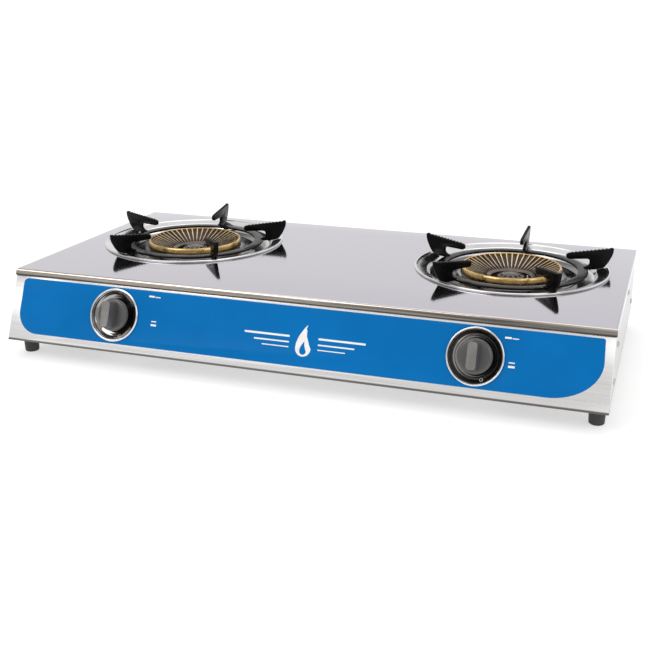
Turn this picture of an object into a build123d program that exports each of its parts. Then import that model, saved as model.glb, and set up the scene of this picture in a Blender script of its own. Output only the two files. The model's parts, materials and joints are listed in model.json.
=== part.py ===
"""Two-burner table-top camp stove, in millimetres.

+X runs to the user's right, +Y to the back and +Z up. The origin is on the table, under the middle
of the stove's footprint. The sheet-steel case leans back at the front, where the two knobs are.
"""
from build123d import *
import math
import os

os.makedirs("parts", exist_ok=True)

# ---------------------------------------------------------------- driving dimensions: the case
CASE_WIDTH = 710.0
CASE_DEPTH = 366.0
CASE_HEIGHT = 79.0
FOOT_HEIGHT = 24.0
FOOT_RADIUS = 9.5
FRONT_SETBACK = 30.0          # how far the top front edge stands behind the bottom front edge
SHEET = 1.0
COVER_LIP = 7.5
COVER_BEND = 2.5
FRONT_Y = -186.87             # bottom front edge, so that knobs and gas inlet balance about y = 0

BASE_Z = FOOT_HEIGHT
TOP_Z = BASE_Z + CASE_HEIGHT
BACK_Y = FRONT_Y + CASE_DEPTH
LEAN = math.atan2(FRONT_SETBACK, CASE_HEIGHT)
LEAN_SIN = math.sin(LEAN)
LEAN_COS = math.cos(LEAN)
PANEL_X = CASE_WIDTH / 2 - SHEET      # outer face of the side panels, inside the cover's lips
PANEL_TOP_Z = TOP_Z - SHEET - 2.5     # panels end under the cover's bend
FRONT_FLANGE = 14.0
SIDE_FLANGE = 27.0
FLANGE_GAP = 0.5

# ---------------------------------------------------------------- driving dimensions: burners
BURNER_X = 214.0
BURNER_Y = FRONT_Y + 224.0
CAP_RADIUS = 61.5
CAP_RIM = 3.5                 # height of the cap's rim above the top cover
HEAD_TOP = -7.0               # cast head, relative to the top cover
HEAD_RADIUS = 60.0
HEAD_BORE = 54.0
INNER_SEAT = -14.0
CAP_SLOTS = 48
CENTER_CAP_RADIUS = 17.0
PAN_RADIUS = 118.0
PAN_OPENING = 112.0
TUBE_Z = 49.2                 # axis of both mixing tubes
TUBE_RADIUS = 12.5
MOUTH_RADIUS = 15.0
MOUTH_Y = FRONT_Y + 74.0
MOUTH_LENGTH = 17.0
SHUTTER_CLEARANCE = 0.06

# ---------------------------------------------------------------- driving dimensions: pot supports
ARM_COUNT = 5
ARM_THICKNESS = 4.0
ARM_TIP_RADIUS = 123.0
ARM_TIP_Z = 26.0
ARM_END_RADIUS = 66.0
ARM_END_Z = 20.0
ARM_BAR_BOTTOM = 12.0
ARM_TEETH = 11
ARM_FOOT_RADIUS = 88.0        # inner end of the foot, let into the ring
ARM_LEG_RADIUS = 95.0         # inner edge of the leg above its foot
RING_INNER = 80.0
RING_OUTER = 92.0
RING_BOTTOM = -1.5
RING_THICKNESS = 2.5
SUPPORT_TURN = {"left": 22.0, "right": 17.0}

# ---------------------------------------------------------------- driving dimensions: controls
KNOB_UP_FACE = 41.0           # knob axis, measured up the sloping face
BEZEL_RADIUS = 31.3
BEZEL_OPENING = 29.0
FASCIA_THICKNESS = 0.5
KNOB_RADIUS = 19.0
GRIP_LENGTH = 31.0
GRIP_WIDTH = 11.5
GRIP_TOP = 22.5
SPINDLE_RADIUS = 4.0
RUNNING_CLEARANCE = 0.05
VALVE_FRONT = -20.0           # along the knob axis, outward positive
VALVE_END = -48.0
VALVE_RADIUS = 11.0

# ---------------------------------------------------------------- driving dimensions: gas supply
RAIL_Y = FRONT_Y + 30.0
RAIL_Z = 39.0
RAIL_RADIUS = 6.0
RAIL_BORE = 4.6
RAIL_LEFT_X = -244.0
INLET_X = 300.0
RAIL_BEND = 25.0
THREAD_RADIUS = 8.33          # three-eighths pipe thread, crest radius
THREAD_LENGTH = 14.0
SLIP = 0.02                   # gap that keeps a pressed or threaded fit from overlapping

SIDES = (("left", -BURNER_X), ("right", BURNER_X))


def save(part, name):
    """Label a finished piece and write it under its own name."""
    part.label = name
    export_step(part, f"parts/{name}.step")


def face_point(across, up, out):
    """A point given across and up the sloping front face, and out of it."""
    return (across, FRONT_Y + up * LEAN_SIN - out * LEAN_COS, BASE_Z + up * LEAN_COS + out * LEAN_SIN)


def face_plane(across=0.0, up=0.0, out=0.0):
    """A plane lying on the sloping front face: x across, y up the face, z outward."""
    return Plane(origin=face_point(across, up, out), x_dir=(1, 0, 0), z_dir=(0, -LEAN_COS, LEAN_SIN))


def knob_plane(x, out=0.0):
    """A plane square to a knob's axis."""
    return face_plane(x, KNOB_UP_FACE, out)


def burner_section(x):
    """An upright plane through a burner's axis: x is the radius, y the height above the cover."""
    return Plane(origin=(x, BURNER_Y, TOP_Z), x_dir=(1, 0, 0), z_dir=(0, -1, 0))


def burner_axis(x):
    return Axis((x, BURNER_Y, 0), (0, 0, 1))


def side_view(x=0.0):
    """A plane seen from the right: its x is the world's y, its y the world's z."""
    return Plane(origin=(x, 0, 0), x_dir=(0, 1, 0), z_dir=(1, 0, 0))


# ================================================================ case
def front_edge(z, inward=0.0):
    """Y of the sloping face at a height, moved inward square to the face."""
    return FRONT_Y + (z - BASE_Z) * LEAN_SIN / LEAN_COS + inward / LEAN_COS


LIP_Z = TOP_Z - COVER_LIP
with BuildPart() as top_cover:
    with BuildSketch(side_view()):
        with BuildLine():
            Polyline((front_edge(LIP_Z, -SHEET), LIP_Z), (front_edge(TOP_Z, -SHEET), TOP_Z),
                     (BACK_Y, TOP_Z), (BACK_Y, LIP_Z), close=True)
        make_face()
    extrude(amount=CASE_WIDTH / 2, both=True)
    fillet(top_cover.faces().sort_by(Axis.Z)[-1].edges(), radius=COVER_BEND)
    with BuildPart(mode=Mode.PRIVATE) as cover_inside:
        inner_top = TOP_Z - SHEET
        with BuildSketch(side_view()):
            with BuildLine():
                Polyline((front_edge(LIP_Z - 1), LIP_Z - 1), (front_edge(inner_top), inner_top),
                         (BACK_Y - SHEET, inner_top), (BACK_Y - SHEET, LIP_Z - 1), close=True)
            make_face()
        extrude(amount=PANEL_X, both=True)
        fillet(cover_inside.faces().sort_by(Axis.Z)[-1].edges(), radius=COVER_BEND - SHEET)
    add(cover_inside.part, mode=Mode.SUBTRACT)
    with BuildSketch(Plane.XY.offset(TOP_Z)):
        with Locations((-BURNER_X, BURNER_Y), (BURNER_X, BURNER_Y)):
            Circle(PAN_OPENING)
    extrude(amount=-2 * SHEET, mode=Mode.SUBTRACT)
save(top_cover.part, "top_cover")

with BuildPart() as front_panel:
    with BuildSketch(side_view()):
        with BuildLine():
            Polyline((FRONT_Y, BASE_Z), (front_edge(PANEL_TOP_Z), PANEL_TOP_Z),
                     (front_edge(PANEL_TOP_Z, SHEET), PANEL_TOP_Z),
                     (front_edge(BASE_Z + SHEET, SHEET), BASE_Z + SHEET),
                     (FRONT_Y + FRONT_FLANGE, BASE_Z + SHEET), (FRONT_Y + FRONT_FLANGE, BASE_Z), close=True)
        make_face()
    extrude(amount=PANEL_X, both=True)
    with BuildSketch(face_plane(out=1)):
        with Locations((-BURNER_X, KNOB_UP_FACE), (BURNER_X, KNOB_UP_FACE)):
            Circle(BEZEL_OPENING)
    extrude(amount=-4, mode=Mode.SUBTRACT)
    lower_corners = front_panel.edges().filter_by(Axis.Y).group_by(Axis.Z)[0]
    fillet(lower_corners.group_by(Axis.X)[0] + lower_corners.group_by(Axis.X)[-1], radius=0.4)
save(front_panel.part, "front_panel")

FASCIA_HALF_WIDTH = 345.0
FASCIA_LOW = 7.5
FASCIA_HIGH = 73.5
LEFT_CORNER = (26.0, 26.0)    # half-axes of the elliptical lower left corner
RIGHT_CORNER = (55.0, 41.0)   # the same for the long sweeping lower right corner
with BuildPart() as front_fascia:
    with BuildSketch(face_plane()) as fascia_outline:
        with BuildLine():
            left = (LEFT_CORNER[0] - FASCIA_HALF_WIDTH, FASCIA_LOW + LEFT_CORNER[1])
            right = (FASCIA_HALF_WIDTH - RIGHT_CORNER[0], FASCIA_LOW + RIGHT_CORNER[1])
            top = FASCIA_HALF_WIDTH - 1
            Line((left[0], FASCIA_LOW), (right[0], FASCIA_LOW))
            EllipticalCenterArc(right, *RIGHT_CORNER, start_angle=-90, arc_size=90)
            Line((FASCIA_HALF_WIDTH, right[1]), (top, FASCIA_HIGH))
            Line((top, FASCIA_HIGH), (-top, FASCIA_HIGH))
            Line((-top, FASCIA_HIGH), (-FASCIA_HALF_WIDTH, left[1]))
            EllipticalCenterArc(left, *LEFT_CORNER, start_angle=180, arc_size=90)
        make_face()
        upper_corners = fascia_outline.vertices().sort_by(Axis.Y)[-2:].sort_by(Axis.X)
        fillet(upper_corners[1], radius=2.5)
        fillet(upper_corners[0], radius=8)
        with Locations((-BURNER_X, KNOB_UP_FACE), (BURNER_X, KNOB_UP_FACE)):
            Circle(BEZEL_OPENING, mode=Mode.SUBTRACT)
    extrude(amount=FASCIA_THICKNESS)
save(front_fascia.part, "front_fascia")

FOOT_X = 341.0
FOOT_INSET = 26.0
FOOT_PLACES = (("front_left", -FOOT_X, FRONT_Y + FOOT_INSET),
               ("front_right", FOOT_X, FRONT_Y + FOOT_INSET),
               ("rear_left", -FOOT_X, BACK_Y - FOOT_INSET),
               ("rear_right", FOOT_X, BACK_Y - FOOT_INSET))
SCREW_RADIUS = 2.0
SIDE_SCREWS = ((46.0, BASE_Z + 16.0), (62.0, BASE_Z + 52.0), (222.0, BASE_Z + 62.0), (320.0, BASE_Z + 22.0))
SCREW_HEAD_RADIUS = 3.6
SCREW_HEAD = 2.0

for side, sign in (("left", -1), ("right", 1)):
    with BuildPart() as side_panel:
        with BuildSketch(Plane.XZ.offset(-FRONT_Y)):
            with BuildLine():
                Polyline((sign * PANEL_X, PANEL_TOP_Z), (sign * PANEL_X, BASE_Z),
                         (sign * (PANEL_X - SIDE_FLANGE), BASE_Z),
                         (sign * (PANEL_X - SIDE_FLANGE), BASE_Z + SHEET),
                         (sign * (PANEL_X - SHEET), BASE_Z + SHEET),
                         (sign * (PANEL_X - SHEET), PANEL_TOP_Z), close=True)
            make_face()
        extrude(amount=-(CASE_DEPTH - SHEET))
        outer_bend = side_panel.edges().filter_by(Axis.Y).sort_by_distance((sign * PANEL_X, 0, BASE_Z))[0]
        fillet(outer_bend, radius=0.9)
        with BuildSketch(face_plane(out=-SHEET - 0.02)):
            Rectangle(2 * CASE_WIDTH, 4 * CASE_HEIGHT)
        extrude(amount=FRONT_SETBACK + 20, mode=Mode.SUBTRACT)
        with BuildSketch(Plane.XY.offset(BASE_Z - 1)):
            with Locations((0, FRONT_Y)):
                Rectangle(2 * (PANEL_X - SHEET), 2 * (FRONT_FLANGE + FLANGE_GAP))
            with Locations((0, BACK_Y - SHEET)):
                Rectangle(2 * (PANEL_X - SHEET), 2 * (FRONT_FLANGE + FLANGE_GAP))
        extrude(amount=4, mode=Mode.SUBTRACT)
        with BuildSketch(Plane.XY.offset(BASE_Z - 1)):
            with Locations((0, FRONT_Y)):
                Rectangle(2 * CASE_WIDTH, 2 * (FRONT_FLANGE + FLANGE_GAP))
        extrude(amount=1 + SHEET, mode=Mode.SUBTRACT)
        with BuildSketch(side_view()):
            with Locations(*[(FRONT_Y + back, height) for back, height in SIDE_SCREWS]):
                Circle(SCREW_RADIUS + SLIP)
        extrude(amount=CASE_WIDTH, both=True, mode=Mode.SUBTRACT)
        with BuildSketch(Plane.XY):
            with Locations(*[(x, y) for _, x, y in FOOT_PLACES]):
                Circle(SCREW_RADIUS + SLIP)
        extrude(amount=BASE_Z + 2 * SHEET, mode=Mode.SUBTRACT)
    save(side_panel.part, f"side_panel_{side}")

VENT_COUNT = 9
VENT_LENGTH = 34.0
VENT_HEIGHT = 3.6
BACK_SCREW_X = (-330.0, -110.0, 110.0)
BACK_SCREW_Z = BASE_Z + 12.0
BACK_FACE = BACK_Y - SHEET    # outer face of the back panel, under the cover's rear lip
with BuildPart() as back_panel:
    with BuildSketch(side_view()):
        with BuildLine():
            Polyline((BACK_FACE, BASE_Z), (BACK_FACE, PANEL_TOP_Z), (BACK_FACE - SHEET, PANEL_TOP_Z),
                     (BACK_FACE - SHEET, BASE_Z + SHEET), (BACK_FACE - FRONT_FLANGE, BASE_Z + SHEET),
                     (BACK_FACE - FRONT_FLANGE, BASE_Z), close=True)
        make_face()
    extrude(amount=PANEL_X - SHEET, both=True)
    with BuildSketch(Plane.XZ.offset(-BACK_Y)):
        with Locations((-30, BASE_Z + 52)):
            with GridLocations(2 * VENT_LENGTH - 12, 12, VENT_COUNT, 2):
                SlotOverall(VENT_LENGTH, VENT_HEIGHT)
        with Locations((INLET_X, RAIL_Z)):
            Circle(THREAD_RADIUS + 0.3)
        with Locations(*[(x, BACK_SCREW_Z) for x in BACK_SCREW_X]):
            Circle(SCREW_RADIUS + SLIP)
    extrude(amount=4 * SHEET, mode=Mode.SUBTRACT)
save(back_panel.part, "back_panel")

SUPPORT_WIDTH = 30.0
SUPPORT_TOP = BASE_Z + SHEET + 7.0
LEG_FRONT_Y = FRONT_Y + 101.0
for side, x in SIDES:
    with BuildPart() as burner_support:
        with BuildSketch(Plane.XZ.offset(-(FRONT_Y + 5))):
            with BuildLine():
                half = SUPPORT_WIDTH / 2
                low = BASE_Z + SHEET
                Polyline((x - half - 6, low), (x - half - 6, low + SHEET), (x - half, low + SHEET),
                         (x - half, SUPPORT_TOP), (x + half, SUPPORT_TOP), (x + half, low + SHEET),
                         (x + half + 6, low + SHEET), (x + half + 6, low), (x + half - SHEET, low),
                         (x + half - SHEET, SUPPORT_TOP - SHEET), (x - half + SHEET, SUPPORT_TOP - SHEET),
                         (x - half + SHEET, low), close=True)
            make_face()
        extrude(amount=-(CASE_DEPTH - 2 * SHEET - 5.5))
        with BuildSketch(Plane.XY):
            with Locations((x, LEG_FRONT_Y), (x, BURNER_Y)):
                Circle(SCREW_RADIUS + SLIP)
        extrude(amount=SUPPORT_TOP + 1, mode=Mode.SUBTRACT)
    save(burner_support.part, f"burner_support_{side}")

# ================================================================ feet and screws
FOOT_COUNTERBORE = 7.0
for place, x, y in FOOT_PLACES:
    with BuildPart() as foot:
        with BuildSketch(Plane.XY):
            with Locations((x, y)):
                Circle(FOOT_RADIUS - 1)
        with BuildSketch(Plane.XY.offset(FOOT_HEIGHT)):
            with Locations((x, y)):
                Circle(FOOT_RADIUS)
        loft()
        chamfer(foot.edges().group_by(Axis.Z)[0], length=1)
        with Locations(Plane(origin=(x, y, 0), x_dir=(1, 0, 0), z_dir=(0, 0, -1))):
            CounterBoreHole(SCREW_RADIUS + SLIP, SCREW_HEAD_RADIUS + 0.6, FOOT_COUNTERBORE)
    save(foot.part, f"foot_{place}")

with BuildPart() as foot_screws:
    for _, x, y in FOOT_PLACES:
        with BuildSketch(Plane.XY.offset(FOOT_COUNTERBORE - SCREW_HEAD)):
            with Locations((x, y)):
                Circle(SCREW_HEAD_RADIUS)
        extrude(amount=SCREW_HEAD)
        with BuildSketch(Plane.XY.offset(FOOT_COUNTERBORE)):
            with Locations((x, y)):
                Circle(SCREW_RADIUS)
        extrude(amount=FOOT_HEIGHT + SHEET + 3 - FOOT_COUNTERBORE)
save(foot_screws.part, "foot_screws")

with BuildPart() as case_screws:
    for sign in (-1, 1):
        for back, height in SIDE_SCREWS:
            seat = Plane(origin=(sign * PANEL_X, FRONT_Y + back, height), x_dir=(0, 1, 0),
                         z_dir=(sign, 0, 0))
            with BuildSketch(seat):
                Circle(SCREW_HEAD_RADIUS)
            extrude(amount=SCREW_HEAD)
            with BuildSketch(seat):
                Circle(SCREW_RADIUS)
            extrude(amount=-5)
    for x in BACK_SCREW_X:
        seat = Plane(origin=(x, BACK_FACE, BACK_SCREW_Z), x_dir=(1, 0, 0), z_dir=(0, 1, 0))
        with BuildSketch(seat):
            Circle(SCREW_HEAD_RADIUS)
        extrude(amount=SCREW_HEAD)
        with BuildSketch(seat):
            Circle(SCREW_RADIUS)
        extrude(amount=-5)
    head_rims = case_screws.edges().filter_by(GeomType.CIRCLE).filter_by(
        lambda edge: abs(edge.radius - SCREW_HEAD_RADIUS) < 0.01
        and (abs(edge.center().X) > PANEL_X + 1 or edge.center().Y > BACK_FACE + 1))
    fillet(head_rims, radius=0.8)
save(case_screws.part, "case_screws")

# ================================================================ controls, one set for each burner
COLLAR_FRONT = -12.0
COLLAR_THICKNESS = 1.5
COLLAR_RADIUS = 7.5
SPINDLE_END = -38.0
SPINDLE_FRONT = 3.0
CHAMBER_RADIUS = 7.0
IGNITER_SIZE = 11.0
IGNITER_NEAR = 12.0
IGNITER_FRONT = -20.0
IGNITER_BACK = -44.0
LEAD_OUT = -48.0
SPRING_WIRE = 0.4
SPRING_RADIUS = 5.6
JET_TIP_Y = MOUTH_Y + 6.0
JET_BASE_Y = MOUTH_Y - 8.0

for side, x in SIDES:
    knob_line = Axis(face_point(x, KNOB_UP_FACE, 0), (0, -LEAN_COS, LEAN_SIN))
    # In this section the first number is the radius and the second the distance out of the face.
    knob_section = Plane(origin=face_point(x, KNOB_UP_FACE, 0), x_dir=(1, 0, 0),
                         z_dir=(0, -LEAN_SIN, -LEAN_COS))

    with BuildPart() as knob_bezel:
        with BuildSketch(knob_section):
            with BuildLine():
                Polyline((BEZEL_RADIUS, 0.5), (BEZEL_RADIUS, 1.8), (30.4, 2.9), (29.2, 2.9), (27.9, 1.4),
                         (22.5, -2.6), (17.0, -3.6), (9.0, -4.0), (9.0, -5.0), (17.3, -4.6), (23.0, -3.6),
                         (28.6, 0.5), close=True)
            make_face()
        revolve(axis=knob_line)
    save(knob_bezel.part, f"knob_bezel_{side}")

    with BuildPart() as knob:
        with BuildSketch(knob_plane(x, 1.5)):
            Circle(KNOB_RADIUS)
        extrude(amount=5)
        fillet(knob.edges().sort_by(knob_line)[-1], radius=1.5)
        with BuildSketch(knob_plane(x, 6.0)):
            RectangleRounded(GRIP_WIDTH, GRIP_LENGTH, 4)
        extrude(amount=GRIP_TOP - 6.0, taper=3)
        fillet(knob.edges().group_by(knob_line)[-1], radius=1.5)
        with BuildSketch(knob_plane(x, 1.5)):
            Circle(6.5)
        extrude(amount=-9.5)
        with BuildSketch(knob_plane(x, -9)):
            Circle(SPINDLE_RADIUS + SLIP)
        extrude(amount=SPINDLE_FRONT + 9.2, mode=Mode.SUBTRACT)
    save(knob.part, f"knob_{side}")

    with BuildPart() as spindle:
        with BuildSketch(knob_plane(x, SPINDLE_END)):
            Circle(SPINDLE_RADIUS)
        extrude(amount=SPINDLE_FRONT - SPINDLE_END)
        with BuildSketch(knob_plane(x, COLLAR_FRONT)):
            Circle(6.2)
        extrude(amount=2)
        with BuildSketch(knob_plane(x, SPINDLE_END)):
            Circle(CHAMBER_RADIUS - 0.4)
        extrude(amount=9, taper=4)
    save(spindle.part, f"spindle_{side}")

    with BuildPart() as push_collar:
        with BuildSketch(knob_plane(x, COLLAR_FRONT)):
            Circle(COLLAR_RADIUS)
            Circle(SPINDLE_RADIUS + RUNNING_CLEARANCE, mode=Mode.SUBTRACT)
        extrude(amount=-COLLAR_THICKNESS)
    save(push_collar.part, f"push_collar_{side}")

    spring_base = knob_plane(x, VALVE_FRONT + SPRING_WIRE + 0.05)
    spring_height = COLLAR_FRONT - COLLAR_THICKNESS - VALVE_FRONT - 2 * SPRING_WIRE - 0.1
    coil = spring_base.location * Helix(pitch=spring_height / 4, height=spring_height, radius=SPRING_RADIUS)
    with BuildPart() as return_spring:
        with BuildSketch(Plane(origin=coil @ 0, z_dir=coil % 0)):
            Circle(SPRING_WIRE)
        sweep(path=coil, is_frenet=True)
    save(return_spring.part, f"return_spring_{side}")

    with BuildPart() as valve_body:
        with BuildSketch(knob_plane(x, VALVE_FRONT)):
            Circle(VALVE_RADIUS)
        extrude(amount=VALVE_END - VALVE_FRONT)
        with BuildSketch(knob_plane(x, -25)):
            with Locations((VALVE_RADIUS - 1, 0)):
                Rectangle(2 * (IGNITER_NEAR - VALVE_RADIUS + 1), 8)
        extrude(amount=-14)
        with BuildSketch(side_view(x)):
            with BuildLine():
                Polyline((RAIL_Y - 8.5, 32.6), (RAIL_Y - 8.5, 46.0), (RAIL_Y + 8, 50), (RAIL_Y + 22, 44),
                         (RAIL_Y + 13, 32.6), close=True)
            make_face()
        extrude(amount=9, both=True)
        with BuildSketch(Plane.XZ.offset(-(JET_BASE_Y - 14))):
            with Locations((x, TUBE_Z)):
                RegularPolygon(7.5, 6)
        extrude(amount=-14)
        with BuildSketch(side_view(x)):
            with Locations((RAIL_Y, RAIL_Z)):
                Circle(RAIL_RADIUS + SLIP)
        extrude(amount=20, both=True, mode=Mode.SUBTRACT)
        with BuildSketch(knob_plane(x, VALVE_FRONT)):
            Circle(SPINDLE_RADIUS + RUNNING_CLEARANCE)
        extrude(amount=-10, mode=Mode.SUBTRACT)
        with BuildSketch(knob_plane(x, VALVE_FRONT - 4)):
            Circle(CHAMBER_RADIUS)
        extrude(amount=-19, mode=Mode.SUBTRACT)
        with BuildSketch(Plane.XZ.offset(-JET_BASE_Y)):
            with Locations((x, TUBE_Z)):
                Circle(3)
        extrude(amount=10, mode=Mode.SUBTRACT)
    save(valve_body.part, f"valve_body_{side}")

    with BuildPart() as jet:
        with BuildSketch(Plane.XZ.offset(-JET_BASE_Y)):
            with Locations((x, TUBE_Z)):
                RegularPolygon(5.5, 6)
        extrude(amount=-6)
        with BuildSketch(Plane.XZ.offset(-(JET_BASE_Y + 6))):
            with Locations((x, TUBE_Z)):
                Circle(3.4)
        extrude(amount=-(JET_TIP_Y - JET_BASE_Y - 6), taper=6)
        with BuildSketch(Plane.XZ.offset(-JET_BASE_Y)):
            with Locations((x, TUBE_Z)):
                Circle(0.6)
        extrude(amount=-20, mode=Mode.SUBTRACT)
    save(jet.part, f"jet_{side}")

    with BuildPart() as igniter:
        with BuildSketch(knob_plane(x + IGNITER_NEAR + IGNITER_SIZE / 2, IGNITER_FRONT)):
            Rectangle(IGNITER_SIZE, IGNITER_SIZE)
        extrude(amount=IGNITER_BACK - IGNITER_FRONT)
        fillet(igniter.edges().filter_by(knob_line), radius=1.5)
        with BuildSketch(knob_plane(x + IGNITER_NEAR + IGNITER_SIZE / 2, IGNITER_BACK)):
            Circle(2.4)
        extrude(amount=LEAD_OUT - IGNITER_BACK)
    save(igniter.part, f"igniter_{side}")

# ================================================================ gas rail and inlet
with BuildPart() as gas_rail:
    with BuildLine() as rail_path:
        FilletPolyline((RAIL_LEFT_X, RAIL_Y, RAIL_Z), (INLET_X, RAIL_Y, RAIL_Z),
                       (INLET_X, BACK_Y - 9, RAIL_Z), radius=RAIL_BEND)
    with BuildSketch(Plane(origin=(RAIL_LEFT_X, RAIL_Y, RAIL_Z), x_dir=(0, 1, 0), z_dir=(1, 0, 0))):
        Circle(RAIL_RADIUS)
        Circle(RAIL_BORE, mode=Mode.SUBTRACT)
    sweep()
    with BuildSketch(Plane(origin=(RAIL_LEFT_X, RAIL_Y, RAIL_Z), x_dir=(0, 1, 0), z_dir=(1, 0, 0))):
        Circle(RAIL_RADIUS)
    extrude(amount=2)
save(gas_rail.part, "gas_rail")

BRACKET_X = (-110.0, 110.0)
with BuildPart() as rail_brackets:
    for x in BRACKET_X:
        with BuildSketch(side_view(x)):
            with Locations((RAIL_Y - 21, BASE_Z + SHEET + 1)):
                Rectangle(9, 2)
            with Locations((RAIL_Y - 17.5, BASE_Z + SHEET + 9)):
                Rectangle(2, 18)
            with Locations((RAIL_Y - 12.5, BASE_Z + SHEET + 17)):
                Rectangle(12, 2)
            with Locations((RAIL_Y, RAIL_Z)):
                Circle(RAIL_RADIUS + 2)
                Circle(RAIL_RADIUS + SLIP, mode=Mode.SUBTRACT)
        extrude(amount=7, both=True)
save(rail_brackets.part, "rail_brackets")

HEX_RADIUS = 11.0
with BuildPart() as inlet_fitting:
    with BuildSketch(Plane.XZ.offset(-(BACK_FACE - 15))):
        with Locations((INLET_X, RAIL_Z)):
            Circle(THREAD_RADIUS)
    extrude(amount=-(15 + 6 + THREAD_LENGTH))
    with BuildSketch(Plane.XZ.offset(-BACK_FACE)):
        with Locations((INLET_X, RAIL_Z)):
            RegularPolygon(HEX_RADIUS, 6)
    extrude(amount=-6)
    with BuildSketch(Plane.XZ.offset(-(BACK_FACE - 15))):
        with Locations((INLET_X, RAIL_Z)):
            Circle(RAIL_RADIUS + SLIP)
    extrude(amount=-7.2, mode=Mode.SUBTRACT)
    with BuildSketch(Plane.XZ.offset(-(BACK_FACE - 15))):
        with Locations((INLET_X, RAIL_Z)):
            Circle(RAIL_BORE)
    extrude(amount=-60, mode=Mode.SUBTRACT)
save(inlet_fitting.part, "inlet_fitting")

with BuildPart() as inlet_nut:
    with BuildSketch(Plane.XZ.offset(-(BACK_FACE - SHEET - 6))):
        with Locations((INLET_X, RAIL_Z)):
            RegularPolygon(HEX_RADIUS + 1, 6)
            Circle(THREAD_RADIUS + SLIP, mode=Mode.SUBTRACT)
    extrude(amount=-6)
save(inlet_nut.part, "inlet_nut")

# ================================================================ burners
ELECTRODE_RADIUS = 20.5       # how far the electrode stands from the burner's axis
CERAMIC_RADIUS = 1.8
ELECTRODE_BOTTOM = 58.0
LEAD_RADIUS = 1.25

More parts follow.
